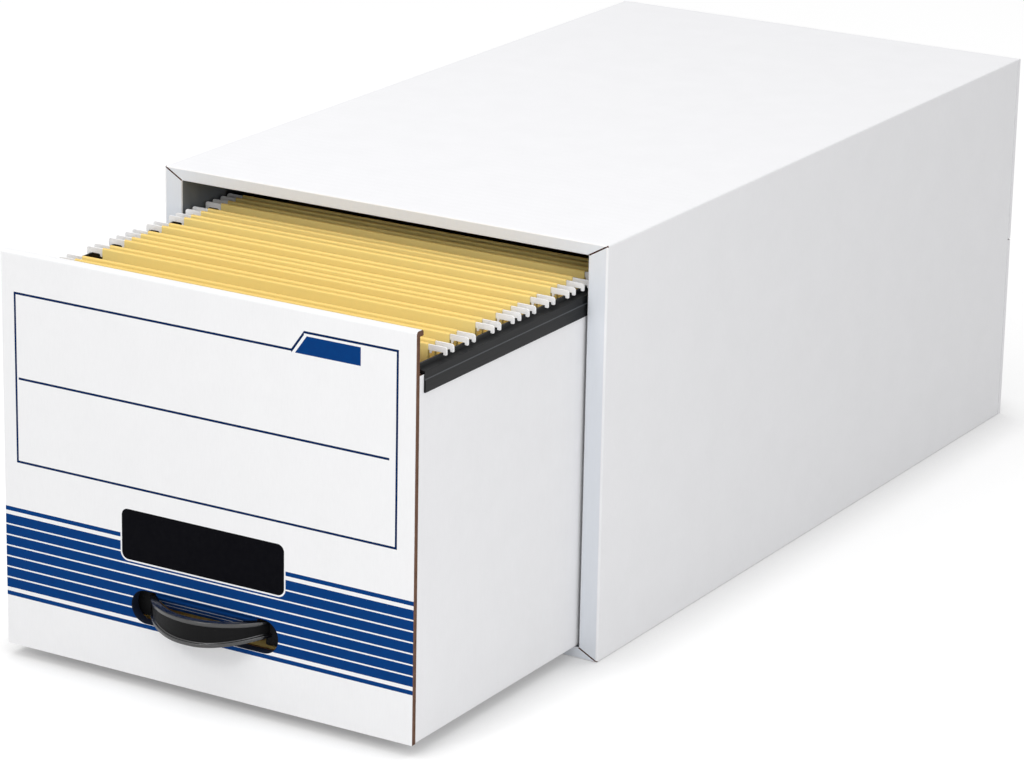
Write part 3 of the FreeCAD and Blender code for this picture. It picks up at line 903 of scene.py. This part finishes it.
rule = all_of(
    art,
    between(art, down, RULE_HEIGHT - LINE / 2, RULE_HEIGHT + LINE / 2),
    between(art, across, RULE_START, RULE_END),
)
frame_line = calc(art, "SUBTRACT", in_frame(0.0), in_frame(LINE))
feed(art, gives["Navy"], any_of(art, frame_line, rule))
tab_edge = calc(art, "MULTIPLY_ADD", down, lean, across)
tab = all_of(
    art,
    between(art, down, TAB_TOP, TAB_BOTTOM),
    calc(art, "LESS_THAN", across, TAB_RIGHT),
    calc(art, "GREATER_THAN", tab_edge, TAB_LEFT + TAB_BOTTOM * lean),
)
print("the step leans by", round(math.degrees(math.atan(lean))), "degrees")

# %% Stripes and plate
bars_top = BAND_TOP + THIN_STRIPE + WHITE_GAP
bars_end = bars_top + BARS * BAR_PITCH - BAR_LINE
last_top = bars_end + WHITE_GAP
in_bar = calc(art, "MODULO", calc(art, "SUBTRACT", down, bars_top), BAR_PITCH)
bars = all_of(
    art,
    between(art, down, bars_top, bars_end),
    calc(art, "LESS_THAN", in_bar, BAR_PITCH - BAR_LINE),
)
thin = [between(art, down, top, top + THIN_STRIPE) for top in (BAND_TOP, last_top)]
feed(art, gives["Blue"], any_of(art, bars, *thin, tab))

squares = []
for value, centre, half in zip((across, down), PLATE_MIDDLE, PLATE_HALF):
    off_centre = calc(art, "ABSOLUTE", calc(art, "SUBTRACT", value, centre))
    past = calc(art, "SUBTRACT", off_centre, half - PLATE_ROUND)
    past = calc(art, "MAXIMUM", past, 0.0)
    squares.append(calc(art, "MULTIPLY", past, past))
from_plate = calc(art, "SQRT", calc(art, "ADD", *squares))
for name, reach in (("Black", PLATE_ROUND), ("Bare", PLATE_ROUND + PLATE_BORDER)):
    feed(art, gives[name], calc(art, "LESS_THAN", from_plate, reach))
print("band of stripes, mm:", round(last_top + THIN_STRIPE - BAND_TOP, 1))

# %% Printed board
INK_BLUE, INK_BLUE_PALE = rgb(0, 52, 114), rgb(4, 63, 127)
INK_NAVY, INK_BLACK = rgb(2, 34, 80), rgb(2, 2, 7)
INK_CLOUDS = 260
INK_THINNEST = 0.996
INK_GLAZE = -0.22
PRINT_SHINE = 0.03
front_low, front_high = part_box("drawer_front_outer")


def unfolded(tree, place, turn, hinge):
    """The place on the flat board, before it was folded by an angle about a hinge."""
    inputs = {"Vector": place, "Location": hinge, "Rotation": (turn, 0, 0)}
    flat = add(tree, "ShaderNodeMapping", inputs, vector_type="TEXTURE").outputs[0]
    return vector(tree, "ADD", flat, hinge)


def printed_finish(name, turn=0.0, hinge=Vector()):
    """White board with the front's artwork. A folded flap keeps its own part of it."""
    material, tree, shader, place = new_material(name)
    skin = use(tree, paper, Place=place, Colour=rgb(243, 243, 244), Mottle=0.055)
    x, _, z = apart(tree, unfolded(tree, place, turn, hinge))
    right = calc(tree, "DIVIDE", calc(tree, "SUBTRACT", x, front_low.x), MM)
    under = calc(tree, "DIVIDE", calc(tree, "SUBTRACT", front_high.z, z), MM)
    spot = add(tree, "ShaderNodeCombineXYZ", {0: right, 1: under}).outputs[0]
    ink = use(tree, art, Place=spot)
    cloud = noisy(tree, place, INK_CLOUDS, 4)
    cover = calc(tree, "MULTIPLY_ADD", cloud, 1 - INK_THINNEST, INK_THINNEST)
    blue = mixed(tree, cloud, INK_BLUE, INK_BLUE_PALE)
    stripes = calc(tree, "MULTIPLY", ink["Blue"], calc(tree, "SUBTRACT", 1.0, ink["Bare"]))
    color = skin["Colour"]
    for mask, tone in (stripes, blue), (ink["Navy"], INK_NAVY), (ink["Black"], INK_BLACK):
        color = mixed(tree, calc(tree, "MULTIPLY", mask, cover), color, tone)
    inked = any_of(tree, stripes, ink["Navy"], ink["Black"])
    rough = calc(tree, "MULTIPLY_ADD", inked, INK_GLAZE, skin["Roughness"])
    surface(tree, shader, color, rough, board_relief(tree, skin, x), 1.0, PRINT_SHINE)
    return material


printed_board = printed_finish("printed_board")
print("printed board:", len(printed_board.node_tree.nodes), "nodes")

# %% [markdown]
# ## The drawer front
# The outer ply is rolled over the top and down behind, and a slot for the hand is cut through
# both plies. The slot's cutter is a block whose four end edges are rounded until they meet. After
# the cut the slot's rim is softened, because a die presses the liner in a little as it cuts.

# %% Hand slot
SLOT_LENGTH = 116 * MM
SLOT_HEIGHT = 23 * MM
SLOT_RIM = 0.5 * MM
ROUND_SEGMENTS = 16
handle_low, handle_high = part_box("pull_handle")
slot_centre = Vector((0, 0, (handle_low.z + handle_high.z) / 2))
slot_half = Vector((SLOT_LENGTH / 2, 0, SLOT_HEIGHT / 2))


def in_slot(item):
    """A test: near the slot."""
    spot = middle(item) - slot_centre
    return abs(spot.x) < slot_half.x + BOARD and abs(spot.z) < slot_half.z + BOARD


def cut_slot(piece, rim_place):
    """Cuts the slot through a ply, softens its rim on one side and gives its walls a dark painted
    shade.
    """
    low, high = slot_centre - slot_half, slot_centre + slot_half
    low.y, high.y = front_low.y - BOARD, front_high.y + BOARD
    cutter = block("slot_cutter", low, high)
    with editing(cutter):
        bevel(SLOT_HEIGHT / 2 - NEAR, ROUND_SEGMENTS, along(Y))
    combine(piece, cutter, "DIFFERENCE")
    with editing(piece):
        bevel(SLOT_RIM, 2, every(at(Y, rim_place), in_slot))
        # The slot's walls take the dark navy, which is painted shade.
        paint(painted_shade_slot_edge, every(in_slot, lambda face: abs(face.normal.y) < 0.5))


print("slot's middle stands", round(slot_centre.z / MM, 1), "mm high")

# %% Drawer front
ROLL = 1.8 * MM
ply_back = front_low.y + BOARD
panel = block("drawer_front_panel", front_low, (front_high.x, ply_back, front_high.z))
give(panel, printed_board, cut_board, kraft_inside, painted_shade_slot_edge)
with editing(panel):
    slice_across(Z, front_high.z - BOARD)
    strip = beyond(Z, front_high.z - BOARD, front_high.z)
    pull("FACE", every(at(Y, ply_back), strip), y=BOARD)
    melt_flat()
    bevel(ROLL, 5, every(at(Z, front_high.z), along(X)))
cut_slot(panel, front_low.y)
with editing(panel):
    paint(kraft_inside, at(Y, ply_back))
    cut_edges(some(at(X, front_low.x), at(X, front_high.x), at(Z, front_low.z)))
    paint(cut_board, lambda face: abs(middle(face).x) > front_high.x - CUT_DEPTH - NEAR)
done(panel, "drawer", "printed_board", "drawer_front_outer")

# %% Inner ply
liner_low, liner_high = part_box("drawer_front_inner")
liner = block("drawer_front_liner", liner_low, liner_high)
give(liner, kraft_inside, painted_shade_slot_edge)
cut_slot(liner, liner_high.y)
done(liner, "drawer", "white_board", "drawer_front_inner")

# %% [markdown]
# ## The pushed-in flap
# The board inside the slot isn't thrown away: it stays joined along the slot's top edge and is
# folded back, with its stripes still on it. It is modelled flat, in the slot, and then turned
# about the fold, and its shader turns the artwork by the same angle.

# %% Handle flap
FLAP_HALF = 40 * MM
FLAP_LENGTH = 20 * MM
FLAP_TURN = math.radians(50)
FLAP_GAP = 0.4 * MM
hinge = Vector((0, ply_back, slot_centre.z + slot_half.z - FLAP_GAP))
flap_low = Vector((-FLAP_HALF, front_low.y, hinge.z - FLAP_LENGTH))
flap_high = Vector((FLAP_HALF, hinge.y, hinge.z))
flap = block("handle_flap_board", flap_low, flap_high)
give(flap, printed_finish("printed_flap", FLAP_TURN, hinge), cut_board)
with editing(flap):
    bevel(ROLL / 2, 3, every(at(Y, flap_low.y), at(Z, hinge.z)))
    cut_edges(some(at(X, flap_low.x), at(X, flap_high.x), at(Z, flap_low.z)))
    select_whole()
    bpy.ops.transform.rotate(value=-FLAP_TURN, orient_axis="X", center_override=hinge)
done(flap, "drawer", "printed_board", "handle_flap")

# %% [markdown]
# ## The tray
# Floor, sides and back of the drawer are one folded sheet, white outside and kraft inside. The
# block loses its top and its front, gets its thickness inwards, its top edge is cut, and its
# folds are rounded.

# %% Drawer tray
TRAY = ("drawer_bottom", "drawer_side_left", "drawer_side_right", "drawer_back_outer")
tray_low, tray_high = span(*TRAY)
tray_top = at(Z, tray_high.z)
tray = block("drawer_tray", tray_low, tray_high)
give(tray, white_board, cut_board, kraft_inside)
inner_low = tray_low + Vector((BOARD, -BOARD, BOARD))
inner_high = tray_high - Vector((BOARD, BOARD, -BOARD))
with editing(tray):
    open_up(some(tray_top, at(Y, tray_low.y)))
apply(tray, "SOLIDIFY", thickness=BOARD, offset=-1, use_even_offset=True)
with editing(tray):
    paint(kraft_inside, inside(inner_low, inner_high))
    cut_edges(tray_top)
    bevel(FOLD, 4, every(outside_edge(tray_low, tray_high), but_not(tray_top)))
done(tray, "drawer", "white_board", *TRAY)

# %% [markdown]
# ## The rails
# Each side's top edge wears a black plastic rail that the folders' hooks ride on. Such a rail is
# extruded, so its faint lines run along it. Its section has a ridge, a cap over the board, a small
# step and a skirt. The right rail is modelled from a bar by cutting it along its length and
# pulling strips up and down; the left one is its mirror copy.

# %% Black plastics
PATCH_DETAIL, PATCH_LIGHTER = 3, 1.7
PLASTIC_PATCHES, PLASTIC_ROUGH = 60, 0.18


def plastic_finish(name, color, rough, shine, stretch, scale, depth):
    """Moulded or extruded black plastic. The grain of an extruded one is drawn out."""
    material, tree, shader, place = new_material(name)
    grain = noisy(tree, place, scale, 3, stretch)
    lighter = (*(min(1.0, channel * PATCH_LIGHTER) for channel in color[:3]), 1.0)
    patches = noisy(tree, place, PLASTIC_PATCHES, PATCH_DETAIL)
    tone = mixed(tree, patches, color, lighter)
    rough = calc(tree, "MULTIPLY_ADD", grain, PLASTIC_ROUGH, rough - PLASTIC_ROUGH / 2)
    surface(tree, shader, tone, rough, grain, depth, shine)
    return material


DRAWN = ((1, 0.02, 1), 1400, 0.012 * MM)
black_rail = plastic_finish("black_rail", rgb(9, 10, 12), 0.45, 0.2, *DRAWN)
# A lighter, glossier black plastic for the step's ledge: a painted highlight.
painted_highlight_rail = plastic_finish("painted_highlight_rail", rgb(50, 52, 56), 0.35, 0.4, *DRAWN)
black_handle = plastic_finish("black_handle", rgb(12, 12, 14), 0.2, 1.0, None, 1100, 0.05 * MM)
handle_grain = plastic_finish("handle_grain", rgb(8, 8, 9), 0.5, 0.12, None, 1300, 0.3 * MM)
print("the rails' fine lines are", round(1 / DRAWN[1] / MM, 1), "mm apart")

# %% The right rail's section
STEP_IN = 0.65 * MM
STEP_HEIGHT = 9 * MM
RIDGE = 1.6 * MM
RIDGE_RISE = 3 * MM
LEG = 1.2 * MM
LEG_DROP = 11 * MM
SKIRT = 1.3 * MM
SHOULDER_FALL = 1 * MM
CAP_GAP = 0.1 * MM
rail_low, rail_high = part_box("file_rail_right")
board_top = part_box("drawer_side_right")[1].z
shoulder = rail_high.z - RIDGE_RISE
cap_low = board_top + CAP_GAP
step_top = rail_low.z + STEP_HEIGHT
skirt_in = rail_high.x - SKIRT

bar_low, bar_high = rail_low.copy(), rail_high.copy()
bar_low.z, bar_high.z = cap_low, shoulder
rail = block("file_rail_right_skin", bar_low, bar_high)
give(rail, black_rail, painted_highlight_rail)
with editing(rail):
    slice_across(X, rail_low.x + LEG, rail_low.x + RIDGE, skirt_in)
    ridge = beyond(X, rail_low.x, rail_low.x + RIDGE)
    leg = beyond(X, rail_low.x, rail_low.x + LEG)
    skirt = beyond(X, skirt_in, rail_high.x)
    pull("FACE", every(at(Z, shoulder), ridge), z=RIDGE_RISE)
    pull("FACE", every(at(Z, cap_low), leg), z=board_top - LEG_DROP - cap_low)
    pull("FACE", every(at(Z, cap_low), skirt), z=rail_low.z - cap_low)
    slice_across(Z, step_top, step_top - STEP_IN)
    select("VERT", every(at(X, rail_high.x), lambda v: v.co.z > step_top - NEAR))
    move(x=-STEP_IN)
    select("VERT", every(at(Z, shoulder), lambda v: v.co.x > skirt_in - NEAR))
    move(z=-SHOULDER_FALL)
    melt_flat()
print("rail's section:", len(rail.data.polygons), "faces")

# %% The rails' edges, and the left rail
RAIL_EDGE = 0.35 * MM
RAIL_SHARP = math.radians(15)
with editing(rail):
    bpy.ops.mesh.select_mode(type="EDGE")
    bpy.ops.mesh.select_all(action="DESELECT")
    bpy.ops.mesh.edges_select_sharp(sharpness=RAIL_SHARP)
    bevel(RAIL_EDGE)
    # The ledge along the step takes the lighter plastic, a painted highlight line.
    ledge = beyond(Z, step_top - STEP_IN - RAIL_EDGE / 2, step_top + RAIL_EDGE / 2)
    paint(painted_highlight_rail, every(ledge, beyond(X, rail_high.x - STEP_IN - NEAR, rail_high.x + NEAR)))
left_rail = copied(rail, "file_rail_left_skin")
with editing(left_rail):
    select_whole()
    bpy.ops.transform.resize(value=(-1, 1, 1), center_override=(0, 0, 0))
    bpy.ops.mesh.normals_make_consistent(inside=False)
done(rail, "drawer", "black_rail", "file_rail_right", angle=30)
done(left_rail, "drawer", "black_rail", "file_rail_left", angle=30)

# %% [markdown]
# ## The pull handle
# The handle is a black strap with a rib along each edge, bowed out of the slot. Its section is
# drawn once, as a flat plane whose ends are pulled out into the ribs, and Spin sweeps it about an
# upright axis.

# %% Pull handle
STRAP = 2.4 * MM
RIB = 2.6 * MM
RIB_STAND = 1.4 * MM
SLOT_INSET = 9 * MM
SPIN_STEPS = 56
rise = handle_high.y - handle_low.y
half_span = slot_half.x - SLOT_INSET
bow_radius = (half_span**2 + rise**2) / (2 * rise)
bow_middle = Vector((0, handle_low.y + bow_radius, 0))
half_turn = math.asin(half_span / bow_radius)
strap_front = handle_low.y + RIB_STAND
strap_back = strap_front + STRAP
rib_low, rib_high = handle_low.z + RIB, handle_high.z - RIB

section_low = (0, strap_front, handle_low.z)
section_high = (0, strap_back, handle_high.z)
handle = plane("pull_handle_skin", (0, math.pi / 2, 0), section_low, section_high)
give(handle, black_handle, handle_grain)
with editing(handle):
    slice_across(Z, rib_low, rib_high)
    for side, way in ((strap_front, -1), (strap_back, 1)):
        pull("EDGE", every(at(Y, side), but_not(beyond(Z, rib_low, rib_high))), y=way * RIB_STAND)
    select_whole()
    bpy.ops.transform.rotate(value=-half_turn, orient_axis="Z", center_override=bow_middle)
    bpy.ops.mesh.spin(steps=SPIN_STEPS, angle=2 * half_turn, center=bow_middle, axis=(0, 0, 1))
    select_whole()
    bpy.ops.mesh.remove_doubles(threshold=NEAR)
    bpy.ops.mesh.normals_make_consistent(inside=False)
strap_end = max(v.co.x for v in handle.data.vertices)
print("half strap and bow radius, mm:", round(strap_end / MM, 1), round(bow_radius / MM, 1))

# %% [markdown]
# The strap is narrowest at its ends, where it enters the slot. Its upper rib is hidden for a
# moment, so that a soft pull with proportional editing raises only the lower one. A foot at each
# end locks it behind the inner ply. Edges are rounded a little, as on a moulded part, before the
# feet are joined on, because the tiny edges that a join leaves would hold the rounding back. The
# feet and the field between the ribs have a fine stipple, and the ribs are smoother.

# %% Handle's taper
TAPER = 6 * MM
TAPER_REACH = 52 * MM
end_angle = half_turn - math.radians(1)
with editing(handle):
    select("VERT", lambda v: v.co.z > slot_centre.z)
    bpy.ops.mesh.hide(unselected=False)
    select("VERT", lambda v: abs(math.atan2(v.co.x, bow_middle.y - v.co.y)) > end_angle)
    bpy.ops.transform.translate(
        value=(0, 0, TAPER),
        use_proportional_edit=True,
        proportional_edit_falloff="SMOOTH",
        proportional_size=TAPER_REACH,
    )
    bpy.ops.mesh.reveal(select=False)
print("strap's end is", round((handle_high.z - handle_low.z - TAPER) / MM, 1), "mm high")

# %% Handle's edges and feet
HANDLE_EDGE = 0.6 * MM
FOOT = 2.4 * MM
FOOT_BURY = 6 * MM
HANDLE_SHARP = math.radians(35)
foot_front = handle_high.y - FOOT
round_sharp(handle, HANDLE_EDGE, 3, HANDLE_SHARP)
for side in (-1, 1):
    left, right = sorted((side * (strap_end - FOOT_BURY), side * handle_high.x))
    foot_high = (right, handle_high.y, handle_high.z)
    foot = block("handle_foot", (left, foot_front, handle_low.z), foot_high)
    give(foot, black_handle)
    with editing(foot):
        select_whole()
        bevel(HANDLE_EDGE)
    combine(handle, foot, "UNION")
print("handle with feet:", len(handle.data.polygons), "faces")

# %% Handle's grain
strap_radii = [bow_radius - RIB_STAND, bow_radius - RIB_STAND - STRAP]


def on_strap(face):
    """A test: on the sunk field between the ribs, on either side of the strap."""
    spot = middle(face) - bow_middle
    off = min(abs(math.hypot(spot.x, spot.y) - radius) for radius in strap_radii)
    return abs(face.normal.z) < 0.1 and off < 0.1 * MM


with editing(handle):
    paint(handle_grain, some(on_strap, beyond(Y, foot_front - NEAR, handle_high.y + NEAR)))
merge_close(handle)
done(handle, "drawer", "black_handle", "pull_handle")

# %% [markdown]
# ## Hanging folders
# A hanging folder is one sheet of card folded to a V. Along each top edge the sheet is rolled over
# a flat steel rod and glued down inside. One wall is modelled from a plane: its top edge is spun
# round the rod and pulled down again as the hem's tongue, then the wall is mirrored and gets the
# card's thickness. Ten copies are put in their places, and each gets its own slight sway and a
# tone a little different from its neighbours'.

# %% Card finish
CREST = 1.2 * MM
STOCK_SCALE, STOCK_SHARE = 60, 0.45


def card_finish(name, color, deep, crest_height):
    """Yellow card with a tone of its own in each folder, deeper on the rolled crest."""
    material, tree, shader, place = new_material(name)
    skin = use(tree, paper, Place=place, Colour=color, Mottle=0.05)
    stock = noisy(tree, place, STOCK_SCALE, 0, stretch=(0, 1, 0))
    crest = ramp(tree, apart(tree, place)[Z], crest_height - CREST, crest_height)
    shift = calc(tree, "MAXIMUM", calc(tree, "MULTIPLY", stock, STOCK_SHARE), crest)
    tone = mixed(tree, shift, skin["Colour"], deep)
    surface(tree, shader, tone, skin["Roughness"], skin["Height"], 2 * FIBRE_HEIGHT)
    return material


card_low, card_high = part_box("folder_01")
folder_card = card_finish("folder_card", rgb(255, 234, 151), rgb(248, 209, 118), card_high.z)
print("the deeper crest is the top", round(CREST / MM, 1), "mm")

# %% One wall of a folder
CARD = 0.5 * MM
MOUTH_HALF = 4.1 * MM
HEM_DEPTH = 14 * MM
FOLD_HALF = 0.9 * MM
WALL_CUTS = 9
HEM_STEPS = 6
half_depth = (card_high.y - card_low.y) / 2
wall_place = half_depth - CARD / 2
hem_radius = wall_place - MOUTH_HALF
hem_top = card_high.z - CARD / 2
hem_low = card_high.z - HEM_DEPTH
roll_height = hem_top - hem_radius
fold_low = card_low.z + CARD / 2
wall_low = fold_low + CARD

corner_low, corner_high = (card_low.x, 0, wall_low), (card_high.x, 0, hem_low)
card = plane("folder_card_model", (math.pi / 2, 0, 0), corner_low, corner_high)
give(card, folder_card)
with editing(card):
    for height, place in ((hem_low, wall_place), (wall_low, FOLD_HALF - CARD / 2)):
        select("VERT", at(Z, height))
        move(y=place)
    select_whole()
    bpy.ops.mesh.subdivide(number_cuts=WALL_CUTS)
    pull("EDGE", at(Z, wall_low), y=CARD / 2 - FOLD_HALF, z=-CARD)
    pull("EDGE", at(Z, hem_low), z=roll_height - hem_low)
    rod_line = (0, MOUTH_HALF, roll_height)
    bpy.ops.mesh.spin(steps=HEM_STEPS, angle=-math.pi, center=rod_line, axis=(1, 0, 0))
    tongue = every(at(Z, roll_height), at(Y, MOUTH_HALF - hem_radius))
    pull("EDGE", tongue, z=hem_low - roll_height)
print("wall:", len(card.data.polygons), "faces, hem radius", round(hem_radius / MM, 2), "mm")

# %% The whole folder
mirrored(card, x=False, y=True)
apply(card, "SOLIDIFY", thickness=CARD, offset=0, use_even_offset=True)
reach = max(v.co.y for v in card.data.vertices)
print("half depth, card and solid, mm:", round(reach / MM, 2), round(half_depth / MM, 2))

# %% [markdown]
# ## Rods and hooks
# A rod is flat steel with a white coating. At each end it is cut to a hook: a tip outside the
# rail's ridge and a short leg inside it. Half a rod is cut from a bar, its legs are pulled down,
# and the corners are rounded. It is mirrored, copied to the folder's other wall, and the pair is
# copied to every folder.

# %% Coated steel
COAT_GRAIN, COAT_RELIEF = 900, 0.01 * MM
WEAR_SCALE, WEAR_START, WEAR_END = 160, 0.55, 0.75


def coated_finish(name, color, metal):
    """White powder coating, a little rubbed to grey where the hooks slide."""
    material, tree, shader, place = new_material(name)
    grain = noisy(tree, place, COAT_GRAIN, 4)
    worn = ramp(tree, noisy(tree, place, WEAR_SCALE, 6), WEAR_START, WEAR_END)
    tone = mixed(tree, calc(tree, "MULTIPLY", worn, 0.5), color, metal)
    rough = calc(tree, "MULTIPLY_ADD", grain, 0.15, 0.28)
    surface(tree, shader, tone, rough, grain, COAT_RELIEF)
    return material


coated_rod = coated_finish("coated_rod", rgb(250, 250, 251), rgb(206, 208, 212))
print("coating:", coated_rod.name)

# %% Half a rod with its hook
ROD_HEIGHT = 3.8 * MM
ROD_HALF = 0.5 * MM
TIP_WIDTH = 2.6 * MM
TIP_RISE = 0.8 * MM
ARCH = 8.6 * MM
INNER_LEG = 1.6 * MM
INNER_DROP = 2 * MM
HOOK_SHOULDER = 1.8 * MM
TIP_ROUND = 1.1 * MM
ARCH_ROUND = 2.4 * MM
rods_low, rods_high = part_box("folder_rods_01")
rod_low = rods_high.z - ROD_HEIGHT
tip_in = rods_high.x - TIP_WIDTH
arch_in = tip_in - ARCH
leg_in = arch_in - INNER_LEG
tip_low = rods_low.z + TIP_RISE
bar_high = (rods_high.x, MOUTH_HALF + ROD_HALF, rods_high.z)
rod = block("folder_rods_model", (0, MOUTH_HALF - ROD_HALF, rod_low), bar_high)
give(rod, coated_rod)
with editing(rod):
    slice_across(X, leg_in, arch_in, tip_in)
    pull("FACE", every(at(Z, rod_low), beyond(X, tip_in, rods_high.x)), z=tip_low - rod_low)
    pull("FACE", every(at(Z, rod_low), beyond(X, leg_in, arch_in)), z=-INNER_DROP)
    bevel(HOOK_SHOULDER, 5, every(at(X, rods_high.x), at(Z, rods_high.z)))
    bevel(TIP_ROUND, 4, every(along(Y), some(at(Z, tip_low), at(Z, rod_low - INNER_DROP))))
    bevel(ARCH_ROUND, 5, every(along(Y), at(X, arch_in), at(Z, rod_low)))
    open_up(at(X, 0))
print("hook:", round((rods_high.x - leg_in) / MM, 1), "mm wide")

# %% One pair of rods
ROD_EDGE = 0.2 * MM
ROD_SHARP = math.radians(50)
mirrored(rod, x=True, y=True)
round_sharp(rod, ROD_EDGE, 2, ROD_SHARP)
merge_close(rod)
print("pair of rods:", len(rod.data.polygons), "faces")

# %% Ten folders in their places
FOLDERS = 10
SWAY = 1.1 * MM
WAVES_ACROSS, WAVES_DOWN, SEED_STEP = 7, 3, 3.7


def sway(piece, seed):
    """Lets a card's walls hang a little out of flat, but not its hem and its fold."""
    for vertex in piece.data.vertices:
        share = (hem_low - vertex.co.z) / (hem_low - fold_low)
        if 0 < share < 1:
            x, z = vertex.co.x * WAVES_ACROSS, vertex.co.z * WAVES_DOWN
            swing = noise.noise(Vector((x, seed * SEED_STEP, z)))
            vertex.co.y += SWAY * math.sin(math.pi * share) * swing


for number in range(1, FOLDERS + 1):
    tag = f"{number:02d}"
    low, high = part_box(f"folder_{tag}")
    folder_place = (low.y + high.y) / 2
    piece = copied(card, f"folder_card_{tag}", folder_place)
    sway(piece, number)
    done(piece, f"hanging_folder_{tag}", "folder_card", f"folder_{tag}")
    pair = copied(rod, f"hook_rods_{tag}", folder_place)
    done(pair, f"hanging_folder_{tag}", "coated_rod", f"folder_rods_{tag}")
for model in (card, rod):
    bpy.data.objects.remove(model)
